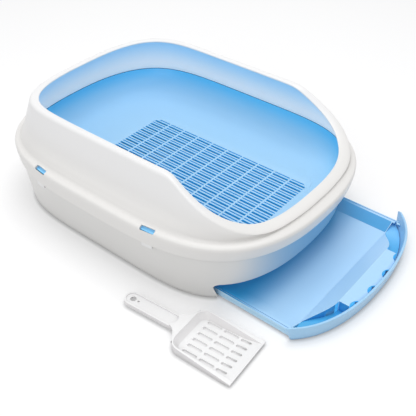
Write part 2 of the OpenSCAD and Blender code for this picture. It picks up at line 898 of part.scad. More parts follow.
// Shallow recess in the handle's top, round at both ends.
module handle_recess() {
    start = 21;
    reach = scoop_length - scoop_bowl - handle_width / 2;
    w = handle_width - 5.4;
    translate([-scoop_bowl - start, 0, handle_top - 1.2]) {
        handle_bar(reach - start, w, 0, 20);
        cylinder(h = 20, r = w / 2, $fn = 48);
    }
}

// Web that flares from the handle to the back of the bowl.
module scoop_neck() {
    w = handle_width / 2;
    wide = scoop_width / 2 - 9;
    curve = [for (k = [0:8]) [-scoop_bowl - 17 + 19.5 * k / 8, w + (wide - w) * pow(k / 8, 2)]];
    back = [for (k = [8:-1:0]) [curve[k][0], -curve[k][1]]];
    translate([0, 0, handle_top - 2])
        linear_extrude(scoop_depth - handle_top + 2)
            polygon(concat(curve, back));
}

module scoop_parts() {
    difference() {
        union() {
            scoop_solid();
            scoop_handle();
            scoop_neck();
        }
        scoop_hollow();
        scoop_slots();
        handle_recess();
    }
}

base_shell();
sieve_pan();
shield();
drawer_tray();
drawer_front();
scoop();
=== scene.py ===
"""Drawer litter box: the moulded pieces in full detail, their plastics and a plain studio.

Every outline is worked out in millimetres by Plan and scaled to metres when a mesh is made.
"""

import math

import bmesh
import bpy
from bpy.props import FloatProperty, FloatVectorProperty, PointerProperty
from mathutils import Matrix, Vector
from mathutils.geometry import delaunay_2d_cdt


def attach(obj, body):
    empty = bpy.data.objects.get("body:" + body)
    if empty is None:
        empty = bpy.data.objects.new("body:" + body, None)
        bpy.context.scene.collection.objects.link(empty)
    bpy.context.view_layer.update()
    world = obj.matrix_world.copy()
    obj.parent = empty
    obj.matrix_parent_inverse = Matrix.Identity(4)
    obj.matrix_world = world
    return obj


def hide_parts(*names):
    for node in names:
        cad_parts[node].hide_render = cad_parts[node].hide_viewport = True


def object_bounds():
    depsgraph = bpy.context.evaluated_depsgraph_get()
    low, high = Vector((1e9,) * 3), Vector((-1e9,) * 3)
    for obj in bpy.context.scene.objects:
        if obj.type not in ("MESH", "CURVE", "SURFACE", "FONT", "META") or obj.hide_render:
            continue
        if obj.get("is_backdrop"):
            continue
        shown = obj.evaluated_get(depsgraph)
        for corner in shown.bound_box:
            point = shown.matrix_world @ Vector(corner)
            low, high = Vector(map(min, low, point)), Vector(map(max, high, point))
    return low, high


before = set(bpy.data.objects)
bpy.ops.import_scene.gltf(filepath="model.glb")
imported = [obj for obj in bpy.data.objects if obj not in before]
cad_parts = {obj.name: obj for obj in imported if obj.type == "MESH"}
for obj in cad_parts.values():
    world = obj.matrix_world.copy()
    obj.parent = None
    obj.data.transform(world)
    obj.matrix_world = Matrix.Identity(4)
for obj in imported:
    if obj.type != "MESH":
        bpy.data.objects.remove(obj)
CAD_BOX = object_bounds()

bl_info = {
    "name": "Drawer Litter Box",
    "version": (1, 0, 0),
    "blender": (4, 5, 0),
    "location": "View3D > Sidebar > Litter Box",
    "description": "Builds the litter box's mouldings, plastics and studio",
    "category": "Add Mesh",
}

MM = 0.001
PLAN_POINTS = 224  # points round every moulded outline
SIEVE_BAYS = 10
SIEVE_PAIRS = 12
SCOOP_SLOT_TOP = 0.0042  # the walls of the scoop's slots lie below this
# Where the tray's painted shade under the base gives way to its own light blue.
TRAY_PAINTED_SHADE_REACH = (0.215, 0.275)  # where the tray leaves the shade of the base
# Levels between which the pan's painted light on the floor gives way to painted shade on the upper wall.
PAN_PAINTED_LIGHT_REACH = (0.071, 0.104)  # levels between which the pan's colour changes
LIP_START = math.radians(14)  # roll at which the shield's wall meets its lip
# Levels of the painted blue shade and reflection on the shield's lining.
LINING_PAINTED_SHADE_REACH = (0.112, 0.172)  # levels between which the shield's lining turns blue
# Across the tray, where the pockets' painted shade gives way to the far pocket's painted light.
POCKET_PAINTED_LIGHT_REACH = (0.09, 0.13)  # across the tray, where the far pocket turns lighter
# The tray's further materials: painted slope shade, painted pocket shade, painted edge highlight and painted
# notch glow.
TRAY_PAINTED_SLOPE_SHADE, TRAY_PAINTED_POCKET_SHADE, TRAY_PAINTED_EDGE_HIGHLIGHT, TRAY_PAINTED_NOTCH_GLOW = 1, 2, 3, 4  # the tray's further materials
STEEP, UPWARD = 0.2, 0.95  # how much of a face's normal is along Z
PAPER_GLOW = 0.27  # own light of the floor, for the rays that show it
WORLD_LIGHT = 0.67  # strength of the studio's even light
SENSOR_WIDTH = 36.0  # mm
FRAME_WIDTH, FOCAL_LENGTH = 416, 701.555  # pixels
CAMERA_SPOT = (0.61786, -0.68585, 0.713)
CAMERA_ANGLES = (39.387, 38.893, -0.2)  # turn, climb and roll in degrees


def length(name, description, default):
    """A size that a user may change, in metres."""
    return FloatProperty(name=name, description=description, default=default, min=0.0, unit="LENGTH")


def colour(name, description, default):
    """A plastic's colour, as it is seen on the moulding."""
    return FloatVectorProperty(
        name=name, description=description, default=default, subtype="COLOR", min=0, max=1
    )


class BoxSizes(bpy.types.PropertyGroup):
    """Sizes of the mouldings."""

    base_length: length("Base length", "Length of the base at the floor", 0.4848)
    base_width: length("Base width", "Width of the base at the floor", 0.354)
    base_height: length("Base height", "Height of the base's top edge", 0.1002)
    base_flare: length("Base flare", "Growth of the base from foot to top, each side", 0.0165)
    wall: length("Wall", "Thickness of the moulded walls", 0.0026)
    base_floor: length("Base floor", "Thickness of the base's floor", 0.0022)
    mouth_margin: length("Mouth margin", "Side of the base to the tray opening", 0.0285)
    mouth_height: length("Mouth height", "Top of the tray opening", 0.0305)
    mouth_corner: length("Mouth corner", "Corner radius of the tray opening", 0.006)
    tray_open: length("Tray open", "How far the tray stands out", 0.12)
    tray_gap: length("Tray gap", "Side gap between tray and opening", 0.0029)
    ledge_height: length("Ledge height", "Height of the tray's side ledge", 0.013)
    ledge_width: length("Ledge width", "Width of the tray's side ledge", 0.0076)
    slope_width: length("Slope width", "Width of the tray's sloping side", 0.0195)
    tray_back: length("Tray back", "Middle of the box to the tray's back edge", 0.188)
    ramp_length: length("Ramp length", "Length of the tray's front ramp", 0.027)
    shelf_depth: length("Shelf depth", "Depth of the shelf at the middle", 0.0205)
    shelf_height: length("Shelf height", "Height of the shelf", 0.0224)
    notch_depth: length("Notch depth", "Depth of the drain notches", 0.0055)
    panel_height: length("Panel height", "Height of the front panel", 0.0265)
    panel_thick: length("Panel thickness", "Thickness of the front panel", 0.0042)
    panel_gap: length("Panel gap", "Side gap between panel and opening", 0.0012)
    panel_corner: length("Panel corner", "Radius of the panel's upper corners", 0.0055)
    bowl_inset_end: length("Bowl inset, ends", "Base's top edge to the bowl's edge", 0.0149)
    bowl_inset_side: length("Bowl inset, sides", "Base's top edge to the bowl's edge", 0.012)
    bowl_rise: length("Bowl rise", "Bowl's edge above the base", 0.0046)
    bowl_shift: length("Bowl shift", "Offset of the bowl's edge towards the entry", 0.001)
    bowl_wall: length("Bowl wall", "Thickness of the bowl", 0.0022)
    flange_thick: length("Flange", "Thickness of the bowl's flange", 0.0024)
    sieve_height: length("Sieve height", "Height of the sieve's upper face", 0.0726)
    sieve_thick: length("Sieve thickness", "Thickness of the sieve", 0.003)
    sieve_length: length("Sieve length", "Length of the slotted field", 0.308)
    sieve_width: length("Sieve width", "Width of the slotted field", 0.1444)
    sieve_offset: length("Sieve offset", "Offset of the field towards the tray mouth", 0.044)
    sieve_side: length("Sieve side", "Offset of the field towards the near side", 0.0062)
    wide_slot: length("Wide slot", "Width of a wide slot", 0.0038)
    narrow_slot: length("Narrow slot", "Width of a narrow slot", 0.0022)
    rib_width: length("Rib width", "Width of the sieve's cross ribs", 0.0028)
    rim_high: length("High rim", "Highest level of the rim", 0.177)
    rim_low: length("Low rim", "Level of the rim at the entry", 0.1176)
    rim_tail: length("Rim tail", "How much lower the rim is at the closed end", 0.0064)
    rim_lean: length("Rim lean", "Inward lean of the rim", 0.036)
    drop_start: length("Drop start", "Where the rim starts to drop", 0.112)
    drop_end: length("Drop end", "Where the rim is lowest", 0.224)
    lip_high: length("High lip", "Width of the lip on the high rim", 0.0124)
    lip_low: length("Low lip", "Width of the lip at the entry", 0.017)
    lip_crown: length("Lip crown", "How far the high rim's lip is crowned", 0.0021)
    lean_wall: length("Leaning wall", "Thickness of the shield's leaning wall", 0.003)
    skirt_drop: length("Skirt drop", "Reach of the skirt below the base's top", 0.0157)
    collar_over_end: length("Collar, ends", "Shoulder past the base at the ends", 0.0096)
    collar_over_side: length("Collar, sides", "Shoulder past the base at the sides", 0.0045)
    collar_shift: length("Collar shift", "Offset of the collar towards the entry", 0.0018)
    skirt_thick: length("Skirt thickness", "Thickness of the skirt", 0.0024)
    snap_spacing: length("Snap spacing", "Snap windows from the middle", 0.108)
    window_width: length("Window width", "Width of a snap window", 0.0235)
    window_reach: length("Window reach", "Reach of a snap window up the collar", 0.0072)
    hook_width: length("Hook width", "Width of a snap hook", 0.017)
    hook_drop: length("Hook drop", "Reach of a hook below the skirt", 0.0055)
    hook_barb: length("Hook barb", "How far a hook's barb stands in", 0.0015)


class BoxFinish(bpy.types.PropertyGroup):
    """Colours and gloss of the plastics, with the painted light, shade, highlights and reflections that many
    of them carry.
    """

    base_white: colour("Base white", "Base", (0.76, 0.755, 0.74))
    # Painted reflection: the tray's blue laid over the base's end next to the tray opening.
    base_painted_reflection: colour("Base painted reflection", "End of the base that takes the tray's colour", (0.14, 0.41, 0.67))
    shell_white: colour("Shell white", "Collar and lower wall of the shield", (0.79, 0.78, 0.765))
    # Painted light: a lighter white that the shield's upper wall and rim turn to, and that the hooks take.
    painted_light_white: colour("Rim painted light", "Upper wall and rim of the shield", (0.83, 0.83, 0.835))
    scoop_white: colour("Scoop white", "Flat faces of the scoop", (0.88, 0.88, 0.885))
    # Painted shade: a greyer copy of the scoop's white for its walls.
    scoop_side_painted_shade: colour("Scoop side painted shade", "Walls of the scoop", (0.78, 0.77, 0.775))
    # Painted light: the scoop's slot walls glow in this white.
    scoop_slot_painted_glow: colour("Scoop slot painted glow", "Walls of the scoop's slots", (0.86, 0.855, 0.86))
    lining_low: colour("Lining, low", "Inner face of the shield next to the bowl", (0.92, 0.89, 0.87))
    # Painted shade under the rim, tinted as a painted reflection of the blue pan.
    lining_painted_blue_shade: colour("Lining, painted blue shade", "Inner face of the shield below the rim", (0.39, 0.66, 0.86))
    # Painted light on the pan's floor and painted shade on its upper wall, over one blue plastic.
    pan_low_painted_light: colour("Pan, painted light", "Floor of the pan", (0.375, 0.635, 0.87))
    pan_high_painted_shade: colour("Pan, painted shade", "Upper wall of the pan", (0.11, 0.58, 0.98))
    # Painted shade: a dark band at the pan's top edge for the gap beside the shield.
    pan_edge_painted_shade: colour("Pan edge painted shade", "Top edge of the pan, next to the shield", (0.01, 0.16, 0.36))
    # Painted light: the flange glows in this blue where the snap windows show it.
    flange_blue_painted_glow: colour("Flange painted glow", "Flange of the pan, seen in the snap windows", (0.24, 0.58, 0.90))
    # Painted light: the pan's slot walls and underside glow in this blue.
    slot_blue_painted_glow: colour("Slot painted glow", "Walls of the pan's slots", (0.01, 0.31, 0.64))
    # Painted shade: the darker blue of the tray under the base.
    tray_painted_shade_blue: colour("Tray painted shade", "Flat faces of the tray below the base", (0.04, 0.34, 0.68))
    tray_blue: colour("Tray blue", "Flat faces and ramp of the tray", (0.405, 0.66, 0.93))
    # Painted shade: the darker blue of slopes that face away from the key light.
    tray_slope_painted_shade: colour("Tray slope painted shade", "Side slopes of the tray", (0.06, 0.36, 0.72))
    # Painted shade: the dark blue of the pockets and drain notches.
    tray_deep_painted_shade: colour("Tray deep painted shade", "Pockets and drain notches", (0.07, 0.42, 0.76))
    # Painted light: the lighter blue of the far pocket.
    pocket_blue_painted_light: colour("Pocket painted light", "Far pocket", (0.20, 0.55, 0.90))
    # Painted highlight: the lighter blue of the tray's rounded edges, outer sides and ledge tops.
    tray_edge_painted_highlight: colour("Tray edge painted highlight", "Rounded edges and outer sides of the tray", (0.50, 0.77, 0.97))
    front_blue: colour("Front blue", "Tray's front panel", (0.38, 0.65, 0.91))
    gloss: FloatProperty(
        name="Roughness",
        description="Roughness of the plastics",
        default=0.32,
        min=0,
        max=1,
        subtype="FACTOR",
    )


# ---- outlines ----


def power(value, exponent):
    return math.copysign(abs(value) ** exponent, value) if abs(value) > 1e-12 else 0.0


def oval_point(a, b, p, q, turn):
    """A point of the oval |x/a|^p + |y/b|^q = 1."""
    return a * power(math.cos(turn), 2 / p), b * power(math.sin(turn), 2 / q)


def oval_x(a, b, p, q, y):
    """Half length of an oval at one y."""
    return a * max(0.0, 1 - (abs(y) / b) ** q) ** (1 / p)


def oval_y(a, b, p, q, x):
    """Half width of an oval at one x."""
    return b * max(0.0, 1 - (abs(x) / a) ** p) ** (1 / q)


def mix(u, v, t):
    return u + (v - u) * t


def soft_ramp(t, r):
    """A ramp from 0 to 1 with both corners rounded over r."""
    if t < -r:
        return 0.0
    if t < r:
        return (t + r) ** 2 / (4 * r)
    if t < 1 - r:
        return t
    return 1 - (1 + r - t) ** 2 / (4 * r) if t < 1 + r else 1.0


def even_turns(a, b, p, q, count):
    """Turns that split an oval into equal lengths, alike in all four quarters."""
    shares = [k / 3000 for k in range(3001)]
    fine = [math.pi / 2 * u**3 / (u**3 + (1 - u) ** 3) for u in shares]
    points = [oval_point(a, b, p, q, turn) for turn in fine]
    walked = [0.0]
    for here, there in zip(points, points[1:]):
        walked.append(walked[-1] + math.dist(here, there))
    quarter, i = [], 0
    for k in range(count // 4):
        want = walked[-1] * k / (count // 4)
        while walked[i + 1] < want:
            i += 1
        step = walked[i + 1] - walked[i]
        quarter.append(fine[i] + (fine[i + 1] - fine[i]) * (want - walked[i]) / step)
    back = quarter[:0:-1]
    return (
        quarter
        + [math.pi / 2]
        + [math.pi - t for t in back]
        + [math.pi]
        + [math.pi + t for t in quarter[1:]]
        + [math.pi * 1.5]
        + [math.pi * 2 - t for t in back]
    )


class Plan:
    """Outlines and levels that the mouldings share, in millimetres."""

    BOWL_STEPS = (
        (0, 0, 4.9, 2.4),
        (0.27, 0.04, 4.9, 2.4),
        (0.53, 0.11, 4.8, 2.45),
        (0.76, 0.24, 4.6, 2.6),
        (0.9, 0.45, 4.5, 2.9),
        (0.97, 0.73, 5, 3.6),
    )

    def __init__(self, sizes):
        for name in BoxSizes.__annotations__:
            setattr(self, name, 1000.0 * getattr(sizes, name))
        self.base_a = self.base_length / 2
        self.base_b = self.base_width / 2
        self.mouth_half = self.base_b - self.mouth_margin
        self.mouth_slant = math.radians(18)
        self.tray_half = self.mouth_half - self.tray_gap
        self.tray_bottom = self.base_floor + 0.4
        self.tray_floor = self.tray_bottom + 2
        self.floor_half = self.tray_half - self.ledge_width - self.slope_width
        self.bowl_a = self.base_a + self.base_flare - self.bowl_inset_end
        self.bowl_b = self.base_b + self.base_flare - self.bowl_inset_side
        self.bowl_top = self.base_height + self.bowl_rise
        self.collar_a = self.base_a + self.base_flare + self.collar_over_end - self.collar_shift
        self.collar_b = self.base_b + self.base_flare + self.collar_over_side
        self.shoulder_z = self.base_height + 4
        self.skirt_bottom = self.base_height - self.skirt_drop
        self.skirt_mid = mix(self.skirt_bottom, self.shoulder_z, 0.58)
        self.crease_z = self.shoulder_z + 6.3
        self.shield_foot = self.bowl_top + 0.3
        self.turns = even_turns(self.collar_a, self.collar_b, 3.78, 2.42, PLAN_POINTS)

    def flat(self, ring, turn):
        """The point of a ring (a, b, p, q, z, shift) at one turn."""
        a, b, p, q, z, shift = ring
        x, y = oval_point(a, b, p, q, turn)
        return Vector((x + shift, y, z))

    def even_ring(self, ring):
        """Points of a ring at equal distances in each quarter."""
        return [self.flat(ring, turn) for turn in even_turns(*ring[:4], PLAN_POINTS)]

    # base

    def base_ring(self, z, inset=0.0, level=None):
        """The base wall's outline at height z, drawn at another level if one is given."""
        t = max(z, 0.0) / self.base_height
        grow = self.base_flare * t**0.92 - inset
        level = z if level is None else level
        return self.base_a + grow, self.base_b + grow, mix(5.27, 3.85, t), mix(2.2, 2.45, t), level, 0.0

    # bowl

    def sieve_ring(self, z, grow):
        half = self.sieve_width / 2 + self.sieve_side + grow
        return self.sieve_length / 2 + grow, half, 9, 9, z, self.sieve_offset

    def bowl_ring(self, k, out, down):
        depth, inward, p, q = self.BOWL_STEPS[k]
        a, b = self.sieve_ring(0, 6)[:2]
        return (
            mix(self.bowl_a, a, inward) + out,
            mix(self.bowl_b, b, inward) + out,
            p,
            q,
            mix(self.bowl_top, self.sieve_height, depth) - down,
            self.bowl_shift + (self.sieve_offset - self.bowl_shift) * inward**2,
        )

    # shield

    def rim_z(self, x):
        """Height of the rim's inner edge at one x."""
        t = (x - self.drop_start) / (self.drop_end - self.drop_start)
        tail = self.rim_tail * (max(0.0, -x - 90) / 115) ** 2
        return self.rim_high - (self.rim_high - self.rim_low) * soft_ramp(t, 0.1) - tail

    def rise(self, z):
        return max(0.0, z - self.bowl_top) / (self.rim_high - self.bowl_top)

    def lean(self, z):
        """Inward lean of the rim's inner edge at height z."""
        h = self.rise(z)
        return self.rim_lean * (1.24 * h - 0.24 * h * h)

    def shell_point(self, turn, level, z, out):
        """A point at height z, out from the wall's inner line of height level."""
        h = self.rise(level)
        grow = out - self.lean(level)
        x, y = oval_point(self.bowl_a + grow, self.bowl_b + grow, 4.9 + h, 2.4 + 0.43 * h, turn)
        return Vector((x + self.bowl_shift, y, z))

    def rim_at(self, turn):
        guess = self.rim_z(oval_point(self.bowl_a - 18, self.bowl_b - 18, 5.4, 2.7, turn)[0])
        return self.rim_z(self.shell_point(turn, guess, 0, 0).x)

    def low_at(self, turn):
        """How much of the low entry applies at this turn."""
        return (self.rim_high - self.rim_at(turn)) / (self.rim_high - self.rim_low)

    def lip_at(self, turn):
        return mix(self.lip_high, self.lip_low, self.low_at(turn) ** 1.5)

    def lip_foot(self, turn):
        slope = mix(0.33, 0.38, self.low_at(turn))
        return max(self.crease_z + 1, self.rim_at(turn) - slope * self.lip_at(turn))

    def lip_z(self, turn, roll):
        """Level of the lip at one roll, from its outer edge (0) to its inner edge (90 degrees)."""
        crown = self.lip_crown * (1 - self.low_at(turn)) * math.sin(2 * roll)
        return mix(self.lip_foot(turn), self.rim_at(turn), math.sin(roll)) + crown

    def lip_point(self, turn, roll):
        out = self.lip_at(turn) * math.cos(roll)
        return self.shell_point(turn, self.rim_at(turn), self.lip_z(turn, roll), out)

    def wall_out(self, turn, z):
        """Distance of the wall's outer face from the inner line: it meets the lip where that starts."""
        top = self.lip_z(turn, LIP_START)
        end = self.lip_at(turn) * math.cos(LIP_START) - self.lean(self.rim_at(turn)) + self.lean(top)
        down = 1 - min(1.0, max(0.0, z - self.crease_z) / (top - self.crease_z))
        return mix(end, self.lean_wall, down * down)

    def face_point(self, turn, u):
        """The shield's outer face, from the crease (0) to the lip (1)."""
        z = mix(self.crease_z, self.lip_z(turn, LIP_START), u)
        x, y = oval_point(self.collar_a - 14.5, self.collar_b - 12, 4.16, 2.55, turn)
        wall = self.shell_point(turn, z, z, self.wall_out(turn, z))
        t = (1 - min(1.0, (z - self.crease_z) / 24)) ** 2
        return Vector((mix(wall.x, x + self.collar_shift, t), mix(wall.y, y, t), z))

    def inner_point(self, turn, u):
        """The shield's inner face, from the bowl (0) to the lip (1)."""
        z = mix(self.shield_foot, self.lip_z(turn, LIP_START) - 3.1, u)
        return self.shell_point(turn, z, z, self.wall_out(turn, z) - self.lean_wall)

    def collar(self, end, side, p, q, z):
        return self.collar_a - end, self.collar_b - side, p, q, z, self.collar_shift

    def snap_y(self):
        """Where the skirt's inner face runs past the middle of a hook."""
        a, b, p, q = self.collar(self.skirt_thick + 3.5, self.skirt_thick - 2, 3.45, 2.46, 0)[:4]
        return oval_y(a, b, p, q, self.snap_spacing)


# ---- section lines ----


def smooth_run(knots, detail):
    """A curve through the knots that doesn't overshoot, as short straight pieces."""
    if len(knots) == 2:
        return list(knots)
    spans = [max((b - a).length, 1e-6) for a, b in zip(knots, knots[1:])]
    slopes = [(b - a) / s for a, b, s in zip(knots, knots[1:], spans)]
    inner = [
        (slopes[i - 1] * spans[i] + slopes[i] * spans[i - 1]) / (spans[i - 1] + spans[i])
        for i in range(1, len(slopes))
    ]
    tangents = [slopes[0]] + inner + [slopes[-1]]
    path = []
    for i, span in enumerate(spans):
        for k in range(detail):
            t = k / detail
            path.append(
                knots[i] * (2 * t**3 - 3 * t**2 + 1)
                + tangents[i] * span * (t**3 - 2 * t**2 + t)
                + knots[i + 1] * (3 * t**2 - 2 * t**3)
                + tangents[i + 1] * span * (t**3 - t**2)
            )
    return path + [knots[-1]]


def resample(path, start, end, count):
    """count even pieces of a path, leaving out a length at each end."""
    walked = [0.0]
    for here, there in zip(path, path[1:]):
        walked.append(walked[-1] + (there - here).length)
    start = min(start, walked[-1] * 0.45)
    end = min(end, walked[-1] * 0.45)
    points, i = [], 0
    for k in range(count + 1):
        want = mix(start, walked[-1] - end, k / count)
        while i < len(path) - 2 and walked[i + 1] < want:
            i += 1
        step = max(walked[i + 1] - walked[i], 1e-9)
        points.append(path[i].lerp(path[i + 1], min(1.0, (want - walked[i]) / step)))
    return points


def trace(knots, detail=3, closed=True):
    """A section line through (point, radius) knots, and the run that each of its points is in.

    A knot with a radius is a rounded corner and one with None is passed smoothly.
    """
    corners = [i for i, (_, radius) in enumerate(knots) if radius is not None]
    total = len(knots)
    runs = []
    for c, i in enumerate(corners if closed else corners[:-1]):
        j = corners[(c + 1) % len(corners)]
        steps = (j - i) % total or total
        points = [knots[(i + k) % total][0] for k in range(steps + 1)]
        path = smooth_run(points, 4 * detail)
        start = knots[i][1]
        end = knots[j][1]
        runs.append((resample(path, start, end, 1 if steps == 1 else detail * steps), knots[j]))
    line, labels = [], []
    for r, (run, (corner, radius)) in enumerate(runs):
        line += run
        labels += [r] * len(run)
        if radius > 0 and (closed or r < len(runs) - 1):
            after = runs[(r + 1) % len(runs)][0][0]
            for t in (0.25, 0.5, 0.75):
                line.append(run[-1].lerp(corner, t).lerp(corner.lerp(after, t), t))
                labels.append(r)
    return line, labels


def loft(columns, closed):
    """Points and faces of a skin round the box, from one section line for each turn."""
    size = len(columns[0])
    points = [p for column in columns for p in column]
    faces = []
    for i in range(len(columns)):
        here, there = i * size, (i + 1) % len(columns) * size
        for k in range(size if closed else size - 1):
            after = (k + 1) % size
            faces.append((here + k, there + k, there + after, here + after))
    return points, faces


# ---- meshes ----


def new_mesh(name, points, faces):
    mesh = bpy.data.meshes.new(name)
    mesh.from_pydata([Vector(p) * MM for p in points], [], faces)
    mesh.update()
    return mesh


def link(name, mesh):
    obj = bpy.data.objects.new(name, mesh)
    bpy.context.scene.collection.objects.link(obj)
    return obj


def carve(obj, tool, operation="DIFFERENCE"):
    """Cuts tool out of obj and removes tool."""
    cut = obj.modifiers.new("cut", "BOOLEAN")
    cut.object = tool
    cut.operation = operation
    cut.solver = "EXACT"
    bpy.context.view_layer.update()
    result = bpy.data.meshes.new_from_object(obj.evaluated_get(bpy.context.evaluated_depsgraph_get()))
    if not result.polygons:
        raise RuntimeError(f"nothing is left of {obj.name}")
    obj.modifiers.clear()
    obj.data = result
    bpy.data.objects.remove(tool)


def prism(name, outline, low, high):
    """A closed upright solid over a flat outline, counterclockwise."""
    n = len(outline)
    points = [(x, y, low) for x, y in outline] + [(x, y, high) for x, y in outline]
    faces = [tuple(range(n - 1, -1, -1)), tuple(range(n, 2 * n))]
    faces += [(i, (i + 1) % n, n + (i + 1) % n, n + i) for i in range(n)]
    return link(name, new_mesh(name, points, faces))


def box_shape(low, high):
    """The outline and levels of an upright box."""
    (x0, y0, z0), (x1, y1, z1) = low, high
    return [(x0, y0), (x1, y0), (x1, y1), (x0, y1)], z0, z1


def soften(obj, width, segments=2, angle=30, keep=None, finish=-1, clamp=True):
    """Rounds an object's edges sharper than angle, where keep allows it.

    finish is the number of the plastic that the rounded edges take, or -1 for their neighbours' one.
    """
    bm = bmesh.new()
    bm.from_mesh(obj.data)
    bmesh.ops.remove_doubles(bm, verts=bm.verts, dist=0.01 * MM)
    bmesh.ops.dissolve_degenerate(bm, dist=0.01 * MM, edges=bm.edges)
    edges = [
        e
        for e in bm.edges
        if len(e.link_faces) == 2
        and e.calc_face_angle(0) > math.radians(angle)
        and (keep is None or keep(e))
    ]
    bmesh.ops.bevel(
        bm,
        geom=edges,
        offset=width * MM,
        segments=segments,
        profile=0.5,
        affect="EDGES",
        clamp_overlap=clamp,
        material=finish,
    )
    bm.to_mesh(obj.data)
    bm.free()


def finish_piece(obj, body, slot_name, *materials, smooth=32):
    """Shades a piece, gives it its plastics and lets it move with its body."""
    obj.data.shade_smooth()
    obj.data.set_sharp_from_angle(angle=math.radians(smooth))
    if not obj.data.materials:
        for material in materials:
            obj.data.materials.append(material)
    else:
        for i, material in enumerate(materials):
            obj.data.materials[i] = material
    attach(obj, body)
    return obj


def flat_faced(name, source):
    """A copy of a solid whose flat sides are single faces."""
    bm = bmesh.new()
    bm.from_mesh(source)
    bmesh.ops.remove_doubles(bm, verts=bm.verts, dist=0.01 * MM)
    bmesh.ops.dissolve_limit(bm, angle_limit=math.radians(1), verts=bm.verts, edges=bm.edges)
    mesh = bpy.data.meshes.new(name)
    bm.to_mesh(mesh)
    bm.free()
    mesh.materials.clear()
    return mesh


def joined(name, objects):
    """One object from several closed solids."""
    bm = bmesh.new()
    for obj in objects:
        bm.from_mesh(obj.data)
        bpy.data.objects.remove(obj)
    mesh = bpy.data.meshes.new(name)
    bm.to_mesh(mesh)
    bm.free()
    return link(name, mesh)


# ---- plastics ----


def add_node(tree, kind, **values):
    """A node with its properties and named inputs set."""
    node = tree.nodes.new(kind)
    for key, value in values.items():
        if hasattr(node, key):
            setattr(node, key, value)
        else:
            node.inputs[key.replace("_", " ")].default_value = value
    return node


def new_group(name, inputs, outputs):
    """A shader node group with its sockets, and its two end nodes."""
    group = bpy.data.node_groups.new(name, "ShaderNodeTree")
    for label, kind, value in inputs:
        socket = group.interface.new_socket(label, in_out="INPUT", socket_type=kind)
        socket.default_value = value
    for label, kind in outputs:
        group.interface.new_socket(label, in_out="OUTPUT", socket_type=kind)
    return group, group.nodes.new("NodeGroupInput"), group.nodes.new("NodeGroupOutput")


def moulded_skin_group():
    """Fine spark-eroded texture and slow waviness of a moulded wall, as a height and a mask."""
    group, given, out = new_group(
        "Moulded skin",
        [("Grain Size", "NodeSocketFloat", 900.0), ("Waviness", "NodeSocketFloat", 0.5)],
        [("Height", "NodeSocketFloat"), ("Mottle", "NodeSocketFloat")],
    )
    place = add_node(group, "ShaderNodeTexCoord")
    grain = add_node(group, "ShaderNodeTexNoise", Detail=2.0, Roughness=0.6)
    wave = add_node(group, "ShaderNodeTexNoise", Scale=9.0, Detail=1.0)
    mottle = add_node(group, "ShaderNodeTexNoise", Scale=34.0, Detail=4.0, Roughness=0.55)
    scaled = add_node(group, "ShaderNodeMath", operation="MULTIPLY")
    total = add_node(group, "ShaderNodeMath", operation="ADD")
    links = group.links
    for texture in (grain, wave, mottle):
        links.new(place.outputs["Object"], texture.inputs["Vector"])
    links.new(given.outputs["Grain Size"], grain.inputs["Scale"])
    links.new(wave.outputs["Fac"], scaled.inputs[0])
    links.new(given.outputs["Waviness"], scaled.inputs[1])
    links.new(grain.outputs["Fac"], total.inputs[0])
    links.new(scaled.outputs[0], total.inputs[1])
    links.new(total.outputs[0], out.inputs["Height"])
    links.new(mottle.outputs["Fac"], out.inputs["Mottle"])
    return group


def edge_wear_group():
    """Where edges are handled: a mask from the surface's sharpness, broken up by noise."""
    group, given, out = new_group(
        "Edge wear",
        [("Amount", "NodeSocketFloat", 0.5)],
        [("Mask", "NodeSocketFloat")],
    )
    shape = add_node(group, "ShaderNodeNewGeometry")
    place = add_node(group, "ShaderNodeTexCoord")
    patches = add_node(group, "ShaderNodeTexNoise", Scale=60.0, Detail=3.0)
    sharp = add_node(group, "ShaderNodeMapRange", From_Min=0.515, From_Max=0.56)
    broken = add_node(group, "ShaderNodeMapRange", From_Min=0.35, From_Max=0.7)
    both = add_node(group, "ShaderNodeMath", operation="MULTIPLY")
    total = add_node(group, "ShaderNodeMath", operation="MULTIPLY")
    links = group.links
    links.new(place.outputs["Object"], patches.inputs["Vector"])
    links.new(shape.outputs["Pointiness"], sharp.inputs["Value"])
    links.new(patches.outputs["Fac"], broken.inputs["Value"])
    links.new(sharp.outputs[0], both.inputs[0])
    links.new(broken.outputs[0], both.inputs[1])
    links.new(both.outputs[0], total.inputs[0])
    links.new(given.outputs["Amount"], total.inputs[1])
    links.new(total.outputs[0], out.inputs["Mask"])
    return group


def handling_group():
    """Faint smears and dust that change the gloss, as a roughness."""
    group, given, out = new_group(
        "Handling marks",
        [("Base", "NodeSocketFloat", 0.3), ("Spread", "NodeSocketFloat", 0.08)],
        [("Roughness", "NodeSocketFloat")],
    )
    place = add_node(group, "ShaderNodeTexCoord")
    smear = add_node(group, "ShaderNodeTexNoise", Scale=14.0, Detail=5.0)
    centre = add_node(group, "ShaderNodeMath", operation="SUBTRACT")
    centre.inputs[1].default_value = 0.5
    scaled = add_node(group, "ShaderNodeMath", operation="MULTIPLY")
    total = add_node(group, "ShaderNodeMath", operation="ADD")
    links = group.links
    links.new(place.outputs["Object"], smear.inputs["Vector"])
    links.new(smear.outputs["Fac"], centre.inputs[0])
    links.new(centre.outputs[0], scaled.inputs[0])
    links.new(given.outputs["Spread"], scaled.inputs[1])
    links.new(scaled.outputs[0], total.inputs[0])
    links.new(given.outputs["Base"], total.inputs[1])
    links.new(total.outputs[0], out.inputs["Roughness"])
    return group


